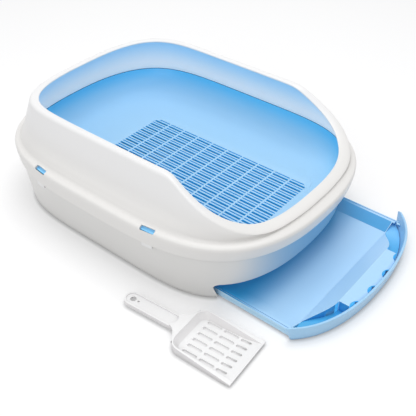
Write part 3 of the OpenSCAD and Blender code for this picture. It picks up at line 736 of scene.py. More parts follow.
def slow_tone_group():
    """A mask that runs from 0 to 1 between two places along a direction."""
    group, given, out = new_group(
        "Slow tone",
        [
            ("Along", "NodeSocketVector", (0.0, 0.0, 1.0)),
            ("Start", "NodeSocketFloat", 0.0),
            ("End", "NodeSocketFloat", 0.1),
        ],
        [("Mask", "NodeSocketFloat")],
    )
    place = add_node(group, "ShaderNodeTexCoord")
    reach = add_node(group, "ShaderNodeVectorMath", operation="DOT_PRODUCT")
    ramp = add_node(group, "ShaderNodeMapRange", interpolation_type="SMOOTHSTEP")
    links = group.links
    links.new(place.outputs["Object"], reach.inputs[0])
    links.new(given.outputs["Along"], reach.inputs[1])
    links.new(reach.outputs["Value"], ramp.inputs["Value"])
    links.new(given.outputs["Start"], ramp.inputs["From Min"])
    links.new(given.outputs["End"], ramp.inputs["From Max"])
    links.new(ramp.outputs[0], out.inputs["Mask"])
    return group


def painted_crevice_group():
    """Painted shade: folds, corners and gaps next to other parts made darker from ambient occlusion, as a
    mask.
    """
    group, given, out = new_group(
        "Painted crevice shade",
        [("Amount", "NodeSocketFloat", 0.5), ("Distance", "NodeSocketFloat", 0.006)],
        [("Mask", "NodeSocketFloat")],
    )
    open_sky = add_node(group, "ShaderNodeAmbientOcclusion", samples=8)
    closed = add_node(group, "ShaderNodeMapRange", From_Min=1.0, From_Max=0.45)
    total = add_node(group, "ShaderNodeMath", operation="MULTIPLY")
    links = group.links
    links.new(given.outputs["Distance"], open_sky.inputs["Distance"])
    links.new(open_sky.outputs["AO"], closed.inputs["Value"])
    links.new(closed.outputs[0], total.inputs[0])
    links.new(given.outputs["Amount"], total.inputs[1])
    links.new(total.outputs[0], out.inputs["Mask"])
    return group


GROUP_MAKERS = {
    "Moulded skin": moulded_skin_group,
    "Edge wear": edge_wear_group,
    "Handling marks": handling_group,
    "Slow tone": slow_tone_group,
    "Painted crevice shade": painted_crevice_group,
}


def place_group(tree, name, **values):
    group = bpy.data.node_groups.get(name) or GROUP_MAKERS[name]()
    node = tree.nodes.new("ShaderNodeGroup")
    node.node_tree = group
    for key, value in values.items():
        node.inputs[key.replace("_", " ")].default_value = value
    return node


def blend_node(tree, share, one, other):
    """A mix of two colours. Each is a plain colour or a socket."""
    node = add_node(tree, "ShaderNodeMix", data_type="RGBA")
    tree.links.new(share, node.inputs[0])
    for socket, given in ((node.inputs[6], one), (node.inputs[7], other)):
        if isinstance(given, bpy.types.NodeSocket):
            tree.links.new(given, socket)
        else:
            socket.default_value = tuple(given) + (1.0,)
    return node.outputs[2]


def backdrop_rays(tree):
    """A value that is 1 for the rays that show the backdrop: camera, glossy and transmission rays."""
    path = add_node(tree, "ShaderNodeLightPath")
    value = path.outputs["Is Camera Ray"]
    for kind in ("Is Glossy Ray", "Is Transmission Ray"):
        larger = add_node(tree, "ShaderNodeMath", operation="MAXIMUM")
        tree.links.new(value, larger.inputs[0])
        tree.links.new(path.outputs[kind], larger.inputs[1])
        value = larger.outputs[0]
    return value


def plastic(
    name,
    tone,
    gloss,
    painted_far_tone=None,
    along=(0, 0, 1),
    reach=(0.0, 0.1),
    wear=0.4,
    glow=0.0,
    painted_crevice_shade=0.6,
    painted_crevice_reach=0.006,
):
    """Injection-moulded polypropylene: satin, faintly mottled, lighter where edges rub.

    With a far tone the colour runs from tone to the far tone between two places along a direction, to paint
    light, shade and reflections. The crevice mask paints shade, and glow gives painted light in the
    plastic's own colour.
    """
    found = bpy.data.materials.get(name)
    if found:
        return found
    material = bpy.data.materials.new(name)
    material.use_nodes = True
    tree = material.node_tree
    shader = tree.nodes["Principled BSDF"]
    shader.inputs["IOR"].default_value = 1.49
    skin = place_group(tree, "Moulded skin", Grain_Size=1400.0, Waviness=0.8)
    worn = place_group(tree, "Edge wear", Amount=wear)
    marks = place_group(tree, "Handling marks", Base=gloss, Spread=0.05)

    toned = blend_node(tree, skin.outputs["Mottle"], [c * 0.985 for c in tone], tone)
    # Painted light and shade: a gradient from tone to the far tone.
    if painted_far_tone is not None:
        far = place_group(tree, "Slow tone", Along=along, Start=reach[0], End=reach[1])
        toned = blend_node(tree, far.outputs["Mask"], toned, painted_far_tone)
    # Painted shade: the colour darkens where ambient occlusion finds folds, corners and nearby parts.
    if painted_crevice_shade:
        fold = place_group(tree, "Painted crevice shade", Amount=painted_crevice_shade, Distance=painted_crevice_reach)
        toned = blend_node(tree, fold.outputs["Mask"], toned, [0.8 * c**1.8 for c in tone])
    rubbed = blend_node(tree, worn.outputs["Mask"], toned, [mix(c, 1.0, 0.25) for c in tone])
    tree.links.new(rubbed, shader.inputs["Base Color"])
    tree.links.new(marks.outputs["Roughness"], shader.inputs["Roughness"])
    # Painted light: the surface gives off its own colour, though it is no lamp.
    if glow:
        tree.links.new(toned, shader.inputs["Emission Color"])
        shader.inputs["Emission Strength"].default_value = glow
    bump = add_node(tree, "ShaderNodeBump", Strength=0.12, Distance=0.0002)
    tree.links.new(skin.outputs["Height"], bump.inputs["Height"])
    tree.links.new(bump.outputs["Normal"], shader.inputs["Normal"])
    return material


# ---- operators ----


class LITTERBOX_OT_base(bpy.types.Operator):
    """Base tub with the tray opening, guide ribs and stops"""

    bl_idname = "litterbox.base"
    bl_label = "Build base"

    def execute(self, context):
        plan = Plan(context.scene.box_sizes)
        finish = context.scene.box_finish
        top = plan.base_height
        floor = plan.base_floor

        def section(turn):
            def at(z, inset, level=None, radius=None):
                return plan.flat(plan.base_ring(z, inset, level), turn), radius

            foot = 2.6
            outer = [at(z, 0) for z in (15, 30, 45, 60, 72, 84, 93)]
            inner = [at(z, plan.wall) for z in (93, 84, 72, 60, 45, 30, 15)]
            knots = (
                [at(foot, 14, 0, 0), at(foot, 2.4, 0, 1.2), at(foot, 0, None, 1.4)]
                + outer
                + [at(top, 0, None, 0.8), at(top, plan.wall, None, 0.8)]
                + inner
                + [at(foot, plan.wall, floor, 3.0), at(foot, 18, floor, 0)]
            )
            return trace(knots, detail=2, closed=False)[0]

        columns = [section(turn) for turn in plan.turns]
        points, faces = loft(columns, closed=False)
        size = len(columns[0])
        faces.append(tuple(i * size for i in range(len(columns) - 1, -1, -1)))
        faces.append(tuple(i * size + size - 1 for i in range(len(columns))))
        shell = link("base_tub", new_mesh("base_tub", points, faces))
        carve(shell, self.mouth_tool(plan))
        carve(shell, self.foot_tool())
        soften(shell, 0.9, segments=3, angle=50, keep=lambda e: self.on_mouth(plan, e))
        # The base's white turns to a painted blue reflection of the tray towards the opening, and takes
        # painted shade in its crevices and under the skirt.
        white = plastic(
            "Base white", finish.base_white, finish.gloss, finish.base_painted_reflection, (1, 0.12, 0), (0.2, 0.262),
            painted_crevice_shade=0.75, painted_crevice_reach=0.009,
        )
        finish_piece(shell, "base", "base_white", white)
        ribs = self.ribs(plan)
        finish_piece(ribs, "base", "base_white", white)
        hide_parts("base_shell")
        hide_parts("base_shell")
        return {"FINISHED"}

    def mouth_outline(self, plan):
        """The opening seen along X: slanted sides and rounded upper corners."""
        slant, r, high = plan.mouth_slant, plan.mouth_corner, plan.mouth_height
        middle = plan.mouth_half + (math.sin(slant) * (high - r) - r) / math.cos(slant)
        low = plan.mouth_half - 20 * math.tan(slant)
        arc = []
        for k in range(13):
            turn = mix(-slant, math.pi / 2, k / 12)
            arc.append((middle + r * math.cos(turn), high - r + r * math.sin(turn)))
        return [(low, -20)] + arc + [(-y, z) for y, z in reversed(arc)] + [(-low, -20)]

    def mouth_tool(self, plan):
        """The space to cut for the opening: it leaves the floor plate whole."""
        start, end = plan.base_a - 80, plan.base_a + 30
        outline = self.mouth_outline(plan)
        n = len(outline)
        points = [(x, y, z) for x in (start, end) for y, z in outline]
        faces = [tuple(range(n - 1, -1, -1)), tuple(range(n, 2 * n))]
        faces += [(i, (i + 1) % n, n + (i + 1) % n, n + i) for i in range(n)]
        tool = link("mouth_tool", new_mesh("mouth_tool", points, faces))
        plate = [oval_point(plan.base_a - 7, plan.base_b - 7, 5.27, 2.2, t) for t in plan.turns]
        carve(tool, prism("plate", plate, -1, plan.base_floor + 0.8))
        return tool

    def on_mouth(self, plan, edge):
        """Whether an edge is on the rim of the tray opening."""
        middle = (edge.verts[0].co + edge.verts[1].co) / 2 / MM
        return (
            middle.x > plan.base_a - 60
            and abs(middle.y) < plan.mouth_half + 14
            and plan.base_floor + 1.5 < middle.z < plan.mouth_height + 1
        )

    def foot_tool(self):
        """Four shallow ring grooves in the underside."""
        tools = []
        for x in (-150, 150):
            for y in (-110, 110):
                rings = ((17, -1), (17, 0.8), (13, 0.8), (13, -1))
                columns = []
                for k in range(48):
                    turn = 2 * math.pi * k / 48
                    columns.append(
                        [Vector((x + r * math.cos(turn), y + r * math.sin(turn), z)) for r, z in rings]
                    )
                tools.append(link("groove", new_mesh("groove", *loft(columns, closed=True))))
        return joined("grooves", tools)

    def ribs(self, plan):
        """Ribs that guide the tray and blocks that stop it, standing in the floor."""
        back, low = plan.tray_back, plan.base_floor - 0.2
        made = []
        for side in (-1, 1):
            inner, outer = sorted((side * plan.mouth_half, side * (plan.mouth_half + 2)))
            made.append(prism("rib", *box_shape((8 - back, inner, low), (176, outer, low + 8.2))))
            near, far = side * 80 - 15, side * 80 + 15
            made.append(prism("stop", *box_shape((-back - 8, near, low), (-back - 0.6, far, low + 9))))
        ribs = joined("base_ribs", made)
        soften(ribs, 0.4)
        return ribs


class LITTERBOX_OT_pan(bpy.types.Operator):
    """Blue bowl with its flange and slotted field"""

    bl_idname = "litterbox.pan"
    bl_label = "Build sieve pan"

    def execute(self, context):
        plan = Plan(context.scene.box_sizes)
        finish = context.scene.box_finish
        low, high = plan.sieve_height - plan.sieve_thick, plan.sieve_height

        last = len(plan.BOWL_STEPS) - 1
        edge = (plan.bowl_a + plan.bowl_wall, plan.bowl_b + plan.bowl_wall, 4.8, 2.4)
        a, b, p, q = plan.base_ring(plan.base_height)[:4]
        flange = (a + 0.4, b + 0.4, p, q)
        under = plan.base_height + 0.2
        over = under + plan.flange_thick
        knots = [(plan.sieve_ring(low, 6), 0)]
        for k in range(last, 0, -1):
            depth = plan.BOWL_STEPS[k][0]
            inset, drop = plan.bowl_wall * (1 - depth), plan.bowl_wall * depth + 0.6
            knots.append((plan.bowl_ring(k, inset, drop), None))
        knots += [
            (edge + (under, plan.bowl_shift), 1.2),
            (flange + (under, 0.0), 0.6),
            (flange + (over, 0.0), 0.6),
            (edge + (over, plan.bowl_shift), 0.9),
            (edge + (plan.bowl_top, plan.bowl_shift), 0.7),
            (plan.bowl_ring(0, 0, 0), 0.7),
        ]
        knots += [(plan.bowl_ring(k, 0, 0), None) for k in range(1, last + 1)]
        knots.append((plan.sieve_ring(high, 6), 0))
        rings = [(plan.even_ring(ring), radius) for ring, radius in knots]
        columns = [
            trace([(ring[i], radius) for ring, radius in rings], detail=4, closed=False)[0]
            for i in range(PLAN_POINTS)
        ]
        points, faces = loft(columns, closed=False)
        faces = [(face, 0) for face in faces]
        start = len(points)
        points += self.sieve_points(plan, faces, start, low, high)
        mesh = new_mesh("pan_bowl", points, [face for face, _ in faces])
        # The pan's blue runs from painted light on the floor to painted shade on the upper wall.
        blue = plastic(
            "Pan blue",
            finish.pan_low_painted_light,
            finish.gloss + 0.02,
            finish.pan_high_painted_shade,
            (0, 0, 1),
            PAN_PAINTED_LIGHT_REACH,
            wear=0.0,
            painted_crevice_shade=0.0,
        )
        # Painted light: the slot walls and underside glow, though they are in shade.
        deep = plastic("Slot painted glow", finish.slot_blue_painted_glow, finish.gloss, wear=0.0, glow=0.35, painted_crevice_shade=0.0)
        # Painted light: the flange glows though it lies in the shield's shade.
        flange_face = plastic("Pan flange painted glow", finish.flange_blue_painted_glow, finish.gloss, wear=0.0, glow=0.35, painted_crevice_shade=0.0)
        edge = plastic("Pan edge painted shade", finish.pan_edge_painted_shade, 0.5, wear=0.0, painted_crevice_shade=0.0)
        mesh.materials.append(blue)
        mesh.materials.append(deep)
        mesh.materials.append(edge)
        mesh.materials.append(flange_face)
        for polygon, (_, part) in zip(mesh.polygons, faces):
            # Faces within a millimetre of the pan's top take the painted shade of the gap; the flange's
            # upper faces take the painted glow.
            if polygon.center.z > (plan.bowl_top - 1.0) * MM:
                part = 2
            elif polygon.normal.z > 0.5 and polygon.center.z > plan.base_height * MM:
                part = 3
            polygon.material_index = part
        pan = link("pan_bowl", mesh)
        bm = bmesh.new()
        bm.from_mesh(pan.data)
        bmesh.ops.remove_doubles(bm, verts=bm.verts, dist=0.02 * MM)
        bmesh.ops.recalc_face_normals(bm, faces=bm.faces)
        bm.to_mesh(pan.data)
        bm.free()
        finish_piece(pan, "pan", "pan_blue", blue, deep, edge, flange_face)
        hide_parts("sieve_pan")
        return {"FINISHED"}

    def sieve_points(self, plan, faces, start, low, high):
        """The slotted plate between the bowl's inner edges.

        Its faces go into faces, each with the number of its plastic.
        """
        ring = plan.even_ring(plan.sieve_ring(0, 6))
        outer = [(p.x, p.y) for p in ring]
        slots = sieve_slots(plan)
        points = []
        # The plate's underside and the lower slot walls take plastic 1, the slot blue with painted glow.
        for level, grow, flip in ((high, 0.45, False), (low, 0.25, True)):
            flat = [Vector(p) for p in outer]
            edges = [(i, (i + 1) % len(outer)) for i in range(len(outer))]
            for slot in slots:
                loop = rounded_outline(grown(slot, grow), 0.9)
                first = len(flat)
                flat += [Vector(p) for p in loop]
                edges += [(first + i, first + (i + 1) % len(loop)) for i in range(len(loop))]
            spots, _, cells, _, _, _ = delaunay_2d_cdt(flat, edges, [], 0, 1e-6)
            owner = slot_owners(spots, slots, grow)
            base = start + len(points)
            points += [(p.x, p.y, level) for p in spots]
            for cell in cells:
                held = {owner[i] for i in cell}
                if len(held) == 1 and -1 not in held:
                    continue
                cell = [base + i for i in cell]
                faces.append((tuple(reversed(cell)) if flip else tuple(cell), int(flip)))
        for slot in slots:
            loops = [
                (rounded_outline(grown(slot, 0.45), 0.9), high),
                (rounded_outline(grown(slot, 0.12), 0.9), high - 0.2),
                (rounded_outline(slot, 0.9), high - 0.6),
                (rounded_outline(slot, 0.9), low + 0.3),
                (rounded_outline(grown(slot, 0.25), 0.9), low),
            ]
            base, count = start + len(points), len(loops[0][0])
            points += [(x, y, z) for loop, z in loops for x, y in loop]
            for row in range(len(loops) - 1):
                for i in range(count):
                    j = (i + 1) % count
                    here, there = base + row * count, base + (row + 1) * count
                    faces.append(((here + i, here + j, there + j, there + i), int(row > 1)))
        return points


def grown(outline, by):
    """A convex counterclockwise outline with every side moved out."""
    moved = []
    n = len(outline)
    for i in range(n):
        before, here, after = outline[i - 1], outline[i], outline[(i + 1) % n]
        d1 = Vector(here) - Vector(before)
        d2 = Vector(after) - Vector(here)
        n1 = Vector((d1.y, -d1.x)).normalized()
        n2 = Vector((d2.y, -d2.x)).normalized()
        turn = (n1 + n2) / max(0.2, 1 + n1.dot(n2))
        moved.append((here[0] + turn.x * by, here[1] + turn.y * by))
    return moved


def rounded_outline(outline, radius):
    """A convex outline with each corner rounded by three short pieces."""
    made = []
    n = len(outline)
    for i in range(n):
        before, here, after = Vector(outline[i - 1]), Vector(outline[i]), Vector(outline[(i + 1) % n])
        start = here.lerp(before, min(0.42, radius / max((before - here).length, 1e-6)))
        end = here.lerp(after, min(0.42, radius / max((after - here).length, 1e-6)))
        for t in (0, 0.33, 0.67, 1):
            p = start.lerp(here, t).lerp(here.lerp(end, t), t)
            made.append((p.x, p.y))
    return made


def sieve_slots(plan):
    """Outlines of the wide and narrow slots, cut off by the field's rounded corners."""
    bay = plan.sieve_length / SIEVE_BAYS
    pitch = plan.sieve_width / SIEVE_PAIRS
    corner = 16
    half_x, half_y = plan.sieve_length / 2, plan.sieve_width / 2
    slots = []
    for i in range(SIEVE_BAYS):
        for j in range(SIEVE_PAIRS):
            for share, width in ((0.27, plan.wide_slot), (0.77, plan.narrow_slot)):
                x, y = -half_x + (i + 0.5) * bay, -half_y + (j + share) * pitch
                reach, half = (bay - plan.rib_width) / 2, width / 2
                slot = [
                    (x - reach, y - half),
                    (x + reach, y - half),
                    (x + reach, y + half),
                    (x - reach, y + half),
                ]
                for k in range(4 * 6):
                    turn = math.pi / 2 * (k // 6) + math.pi / 12 * (k % 6 + 0.5)
                    nx, ny = math.cos(turn), math.sin(turn)
                    cx = math.copysign(half_x - corner, nx)
                    cy = math.copysign(half_y - corner, ny)
                    limit = cx * nx + cy * ny + corner
                    slot = cut_convex(slot, nx, ny, limit)
                    if len(slot) < 3:
                        break
                if len(slot) >= 3 and outline_area(slot) > 9:
                    slots.append([(px + plan.sieve_offset, py - plan.sieve_side) for px, py in tidy(slot)])
    return slots


def cut_convex(outline, nx, ny, limit):
    """The part of an outline where x * nx + y * ny is below limit."""

    def over(p):
        return p[0] * nx + p[1] * ny - limit

    kept = []
    for i, here in enumerate(outline):
        before = outline[i - 1]
        a, b = over(before), over(here)
        if (a > 0) != (b > 0):
            t = a / (a - b)
            kept.append((mix(before[0], here[0], t), mix(before[1], here[1], t)))
        if b <= 0:
            kept.append(here)
    return kept


def tidy(outline):
    """An outline without points closer than half a millimetre."""
    kept = []
    for p in outline:
        if not kept or math.dist(p, kept[-1]) > 0.5:
            kept.append(p)
    if len(kept) > 3 and math.dist(kept[0], kept[-1]) <= 0.5:
        kept.pop()
    return kept


def outline_area(outline):
    return abs(sum(a[0] * b[1] - b[0] * a[1] for a, b in zip(outline, outline[1:] + outline[:1]))) / 2


def slot_owners(spots, slots, grow):
    """For each point of the plate, the slot whose outline it is on, or -1."""
    table = {}
    for s, slot in enumerate(slots):
        for x, y in rounded_outline(grown(slot, grow), 0.9):
            table[(round(x, 3), round(y, 3))] = s
    return [table.get((round(p.x, 3), round(p.y, 3)), -1) for p in spots]


class LITTERBOX_OT_shield(bpy.types.Operator):
    """White shield with its rolled rim, collar, windows and hooks"""

    bl_idname = "litterbox.shield"
    bl_label = "Build shield"

    def execute(self, context):
        plan = Plan(context.scene.box_sizes)
        finish = context.scene.box_finish
        thick = plan.skirt_thick

        def section(turn):
            def at(ring, radius=None):
                return plan.flat(ring, turn), radius

            top = plan.rim_at(turn)
            under = plan.lip_z(turn, math.radians(66)) - plan.lean_wall
            knots = [
                at(plan.collar(3.5, -2, 3.45, 2.46, plan.skirt_bottom), 1.0),
                at(plan.collar(0.9, -1, 3.62, 2.44, plan.skirt_mid)),
                at(plan.collar(0.5, 0.4, 3.78, 2.42, plan.shoulder_z)),
                at(plan.collar(1.4, 1.2, 3.8, 2.42, plan.shoulder_z + 2)),
                at(plan.collar(5.5, 4.6, 3.9, 2.46, plan.shoulder_z + 4.1)),
                at(plan.collar(11.5, 9.6, 4.08, 2.52, plan.crease_z - 0.75)),
            ]
            knots += [
                (plan.face_point(turn, u), None)
                for u in (0.08, 0.16, 0.26, 0.38, 0.5, 0.62, 0.74, 0.86, 0.95)
            ]
            knots += [(plan.lip_point(turn, math.radians(r)), None) for r in (16, 26, 36, 46, 56, 66, 76)]
            knots += [
                (plan.lip_point(turn, math.pi / 2), 0.8),
                (plan.shell_point(turn, top, top - 2.2, 0), 0.7),
                (plan.shell_point(turn, top, under, plan.lip_at(turn) * 0.4), None),
            ]
            knots += [
                (plan.inner_point(turn, u), None)
                for u in (0.98, 0.86, 0.74, 0.62, 0.5, 0.38, 0.26, 0.16, 0.08)
            ]
            knots += [
                (plan.inner_point(turn, 0), 0.5),
                (plan.shell_point(turn, plan.shield_foot, plan.shield_foot, 2.6), 0.5),
                at(plan.collar(14, 12.4, 4.1, 2.5, plan.crease_z - 3.3)),
                at(plan.collar(thick + 1, thick + 0.8, 3.8, 2.42, plan.shoulder_z - 0.8)),
                at(plan.collar(thick + 0.9, thick - 1, 3.62, 2.44, plan.skirt_mid)),
                at(plan.collar(thick + 3.5, thick - 2, 3.45, 2.46, plan.skirt_bottom), 0.6),
            ]
            return trace(knots, detail=3)

        traced = [section(turn) for turn in plan.turns]
        points, faces = loft([line for line, _ in traced], closed=True)
        labels = traced[0][1]
        mesh = new_mesh("shield_wall", points, faces)
        # The shield's white turns to a painted lighter white towards the rim, and takes painted shade in its
        # crevices.
        white = plastic(
            "Shield white", finish.shell_white, finish.gloss, finish.painted_light_white, (0, 0, 1), (0.112, 0.165),
            painted_crevice_shade=0.8, painted_crevice_reach=0.01,
        )
        # Painted shade and reflection: the lining turns blue under the rim; its glow is painted light on the
        # shaded inner face.
        lining = plastic(
            "Shield lining",
            finish.lining_low,
            0.42,
            finish.lining_painted_blue_shade,
            (0, 0, 1),
            LINING_PAINTED_SHADE_REACH,
            wear=0.0,
            glow=0.14,
            painted_crevice_shade=0.3,
        )
        mesh.materials.append(white)
        mesh.materials.append(lining)
        size = len(labels)
        for i, face in enumerate(mesh.polygons):
            face.material_index = 1 if labels[i % size] == 2 else 0
        shield = link("shield_wall", mesh)
        carve(shield, self.window_tool(plan))
        soften(shield, 0.5, angle=55, keep=lambda e: self.on_window(plan, e))
        finish_piece(shield, "shield", "shield_white", white, lining)
        hooks = self.hooks(plan)
        # The hooks take the painted lighter white of the rim.
        hook_white = plastic("Hook white", finish.painted_light_white, finish.gloss, painted_crevice_shade=0.0)
        finish_piece(hooks, "shield", "shield_white", hook_white)
        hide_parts("shield")
        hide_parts("shield")
        return {"FINISHED"}

    def at_snaps(self, plan, piece):
        """Copies of a piece at the four snap places. It is drawn as the one at +X and +Y."""
        made = []
        for sx in (-1, 1):
            for sy in (-1, 1):
                copy = link(piece.name, piece.data.copy())
                copy.data.transform(
                    Matrix.Diagonal((sx, sy, 1, 1))
                    @ Matrix.Translation(Vector((plan.snap_spacing, plan.snap_y(), 0)) * MM)
                    @ Matrix.Rotation(math.radians(-7), 4, "Z")
                )
                if sx * sy < 0:
                    copy.data.flip_normals()
                made.append(copy)
        bpy.data.objects.remove(piece)
        return joined("snaps", made)

    def window_tool(self, plan):
        """Four rounded blocks, square to the collar's slope, where the windows go."""
        half, reach = plan.window_width / 2, plan.window_reach
        block = prism("window", *box_shape((-half, -reach, -8), (half, 0, 8)))
        soften(block, 1.5, segments=4, keep=lambda e: abs((e.verts[0].co - e.verts[1].co).z) > 10 * MM)
        slope = math.atan2(plan.crease_z - 0.5 - plan.shoulder_z - 2, 9.6)
        block.data.transform(
            Matrix.Translation(Vector((0, plan.skirt_thick - 1.2, plan.shoulder_z + 1.8)) * MM)
            @ Matrix.Rotation(-slope, 4, "X")
        )
        return self.at_snaps(plan, block)

    def on_window(self, plan, edge):
        """Whether an edge is on the rim of a snap window."""
        middle = (edge.verts[0].co + edge.verts[1].co) / 2 / MM
        return (
            abs(abs(middle.x) - plan.snap_spacing) < plan.window_width / 2 + 3
            and abs(abs(middle.y) - plan.snap_y()) < 12
            and middle.z > plan.skirt_mid
        )

    def hooks(self, plan):
        """Four tongues that carry the skirt on downwards, each with a barb inside."""
        half, foot = plan.hook_width / 2, plan.skirt_bottom - plan.hook_drop
        top = (half, plan.skirt_thick - 0.3, foot + plan.hook_drop + 2.6)
        tongue = prism("tongue", *box_shape((-half, -0.6, foot), top))
        barb = prism("barb", *box_shape((-half, -plan.hook_barb, foot), (half, 1, foot + 4.6)))
        carve(tongue, barb, "UNION")
        soften(tongue, 0.5)
        hooks = self.at_snaps(plan, tongue)
        hooks.name = hooks.data.name = "shield_hooks"
        return hooks


class LITTERBOX_OT_drawer(bpy.types.Operator):
    """Pull-out tray and its curved front panel"""

    bl_idname = "litterbox.drawer"
    bl_label = "Build drawer"

    def execute(self, context):
        plan = Plan(context.scene.box_sizes)
        finish = context.scene.box_finish
        tray = self.tray(plan)
        # The tray's blue is painted darker under the base as painted shade, and glows a little as painted
        # light.
        blue = plastic(
            "Tray blue",
            finish.tray_painted_shade_blue,
            finish.gloss,
            finish.tray_blue,
            (1, 0, 0),
            TRAY_PAINTED_SHADE_REACH,
            wear=0.0,
            glow=0.07,
            painted_crevice_shade=0.35,
        )
        # Painted shade on the slopes that face away from the key light.
        slope = plastic("Tray slope painted shade", finish.tray_slope_painted_shade, finish.gloss, wear=0.0)
        # Painted shade in the pockets, lighter towards the far pocket as painted light, with a little
        # painted glow.
        deep = plastic(
            "Tray deep painted shade",
            finish.tray_deep_painted_shade,
            finish.gloss,
            finish.pocket_blue_painted_light,
            (0, 1, 0),
            POCKET_PAINTED_LIGHT_REACH,
            wear=0.0,
            glow=0.1,
            painted_crevice_shade=0.2,
        )
        # Painted highlight on the rounded edges, outer sides and ledge tops.
        edge = plastic("Tray edge painted highlight", finish.tray_edge_painted_highlight, finish.gloss, wear=0.0, painted_crevice_shade=0.0)
        # Painted light: the shaded drain notches glow in the pocket's blue.
        notch = plastic("Notch painted glow", finish.tray_deep_painted_shade, finish.gloss, wear=0.0, glow=0.5, painted_crevice_shade=0.0)
        finish_piece(tray, "drawer", "tray_blue", blue, slope, deep, edge, notch, smooth=20)
        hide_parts("drawer_tray")
        panel = self.panel(plan)
        front = plastic("Front blue", finish.front_blue, finish.gloss)
        finish_piece(panel, "drawer", "front_blue", front)
        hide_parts("drawer_front")
        return {"FINISHED"}

    def tray(self, plan):
        """The tray's solid with its edges rounded as a mould leaves them."""
        tray = link("tray_pan", flat_faced("tray_pan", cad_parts["drawer_tray"].data))
        for tip in self.ledge_tips(plan):
            carve(tray, tip, "UNION")
        for groove in self.edge_grooves(plan):
            carve(tray, groove)
        pocket = (plan.base_a - plan.panel_thick - plan.shelf_depth - plan.ramp_length + plan.tray_open) * MM
        tip_start = oval_x(*plan.base_ring(0)[:4], plan.tray_half - plan.ledge_width)
        tip_start = tip_start + plan.tray_open - plan.panel_thick - 1
        tip_side = plan.tray_half - plan.ledge_width - 1
        for face in tray.data.polygons:
            low = face.center.z < plan.tray_floor * MM + 0.0004
            sunk = plan.ledge_height * MM + 0.0002 < face.center.z < plan.shelf_height * MM - 0.0004
            steep = abs(face.normal.z) < STEEP or face.normal.z > UPWARD
            # Pocket floors take the painted pocket shade.
            if face.center.x > pocket and face.normal.z > UPWARD and low:
                face.material_index = TRAY_PAINTED_POCKET_SHADE
            # Drain notches take the painted notch glow.
            elif face.center.x > pocket and sunk and steep and abs(face.center.y) < 0.085:
                face.material_index = TRAY_PAINTED_NOTCH_GLOW
            # The ledge tips take the painted slope shade.
            elif face.center.x > tip_start * MM and abs(face.center.y) > tip_side * MM:
                face.material_index = TRAY_PAINTED_SLOPE_SHADE
            # Outer sides and ledge tops take the painted edge highlight.
            elif abs(face.normal.z) < STEEP and abs(face.center.y) > (plan.tray_half - 1) * MM:
                face.material_index = TRAY_PAINTED_EDGE_HIGHLIGHT
            elif face.normal.z > UPWARD and abs(face.center.y) > tip_side * MM:
                face.material_index = TRAY_PAINTED_EDGE_HIGHLIGHT
            # Faces that look towards -Y take the painted slope shade.
            elif face.normal.y < -0.25:
                face.material_index = TRAY_PAINTED_SLOPE_SHADE
        shelf_end = plan.tray_open + plan.base_a - plan.panel_thick - plan.notch_depth - 4

        def open_edge(edge):
            middle = (edge.verts[0].co + edge.verts[1].co) / 2 / MM
            return (
                middle.z > plan.tray_floor + 2
                and abs(middle.y) < plan.tray_half - 5
                and not (middle.x > tip_start and abs(middle.y) > tip_side)
                and not (middle.x > shelf_end and abs(middle.y) < 90)
            )

        # The rounded edges take the painted edge highlight.
        soften(tray, 0.7, angle=25, finish=TRAY_PAINTED_EDGE_HIGHLIGHT, keep=open_edge, clamp=False)
        even = tray.modifiers.new("even", "WEIGHTED_NORMAL")
        even.keep_sharp = True
        return tray

    def edge_grooves(self, plan):
        """Fine grooves along the ledge and the outer side, where the rim is folded over."""
        back, front = plan.tray_open - plan.tray_back + 3, plan.tray_open + plan.base_a - 32
        for side in (-1, 1):
            for near, far, low, high in (
                (plan.tray_half - 3.4, plan.tray_half - 2.2, plan.ledge_height - 0.7, plan.ledge_height + 1),
                (plan.tray_half - 0.6, plan.tray_half + 1, 7.4, 8.4),
            ):
                y0, y1 = sorted((side * near, side * far))
                yield prism("groove", *box_shape((back, y0, low), (front, y1, high)))

    def ledge_tips(self, plan):
        """Short plates that carry the side ledges on to the leaning front panel."""
        outer, inner = plan.tray_half - 0.1, plan.tray_half - plan.ledge_width
        floor_ring = plan.base_ring(0)[:4]
        ledge_ring = plan.base_ring(plan.ledge_height - 2)[:4]
        shift = plan.tray_open - plan.panel_thick
        for side in (-1, 1):
            ys = [side * mix(inner, outer, k / 4) for k in range(5)]
            outline = [(oval_x(*ledge_ring, y) + shift - 0.05, y) for y in ys]
            outline += [(oval_x(*floor_ring, y) + shift - 3, y) for y in reversed(ys)]
            if side < 0:
                outline.reverse()
            yield prism("tip", outline, plan.ledge_height - 1.9, plan.ledge_height)

    def panel(self, plan):
        """The front panel: it leans and curves with the base, with round upper corners."""
        radius, thick, high = plan.panel_corner, plan.panel_thick, plan.panel_height
        panel_half = plan.mouth_half - plan.panel_gap
        levels = [0.6, 1.6, 5, 9, 13, 17]
        levels += [high - radius + radius * math.sin(math.radians(a)) for a in range(0, 91, 10)]

        def side(z):
            up = max(0.0, z - high + radius)
            rounded = radius - math.sqrt(max(0.0, radius**2 - up**2))
            return panel_half + math.tan(plan.mouth_slant) * z - rounded

        def section(t, back=0.0, thinned=0.0):
            outer, inner = [], []
            for z in levels:
                fade = 1 - max(0.0, z - high + radius) / radius
                thin = thinned * fade
                inset = 1.0 - math.sqrt(max(0.0, 1 - max(0.0, 1.6 - z) ** 2))
                crown = 1.5 - math.sqrt(max(0.0, 2.25 - max(0.0, z - high + 1.5) ** 2))
                inset = min(thick / 2 - 0.3, max(inset, crown, thin))
                y = t * (side(z) - back * fade)
                a, b, p, q = plan.base_ring(max(z, 2.6))[:4]
                x = oval_x(a, b, p, q, y) + plan.tray_open
                outer.append(Vector((x - inset, y, z)))
                toe = 0.9 * max(0.0, 1 - z / 6)
                inner.append(Vector((x - thick + inset - toe, y, z)))
            return outer + inner[::-1]

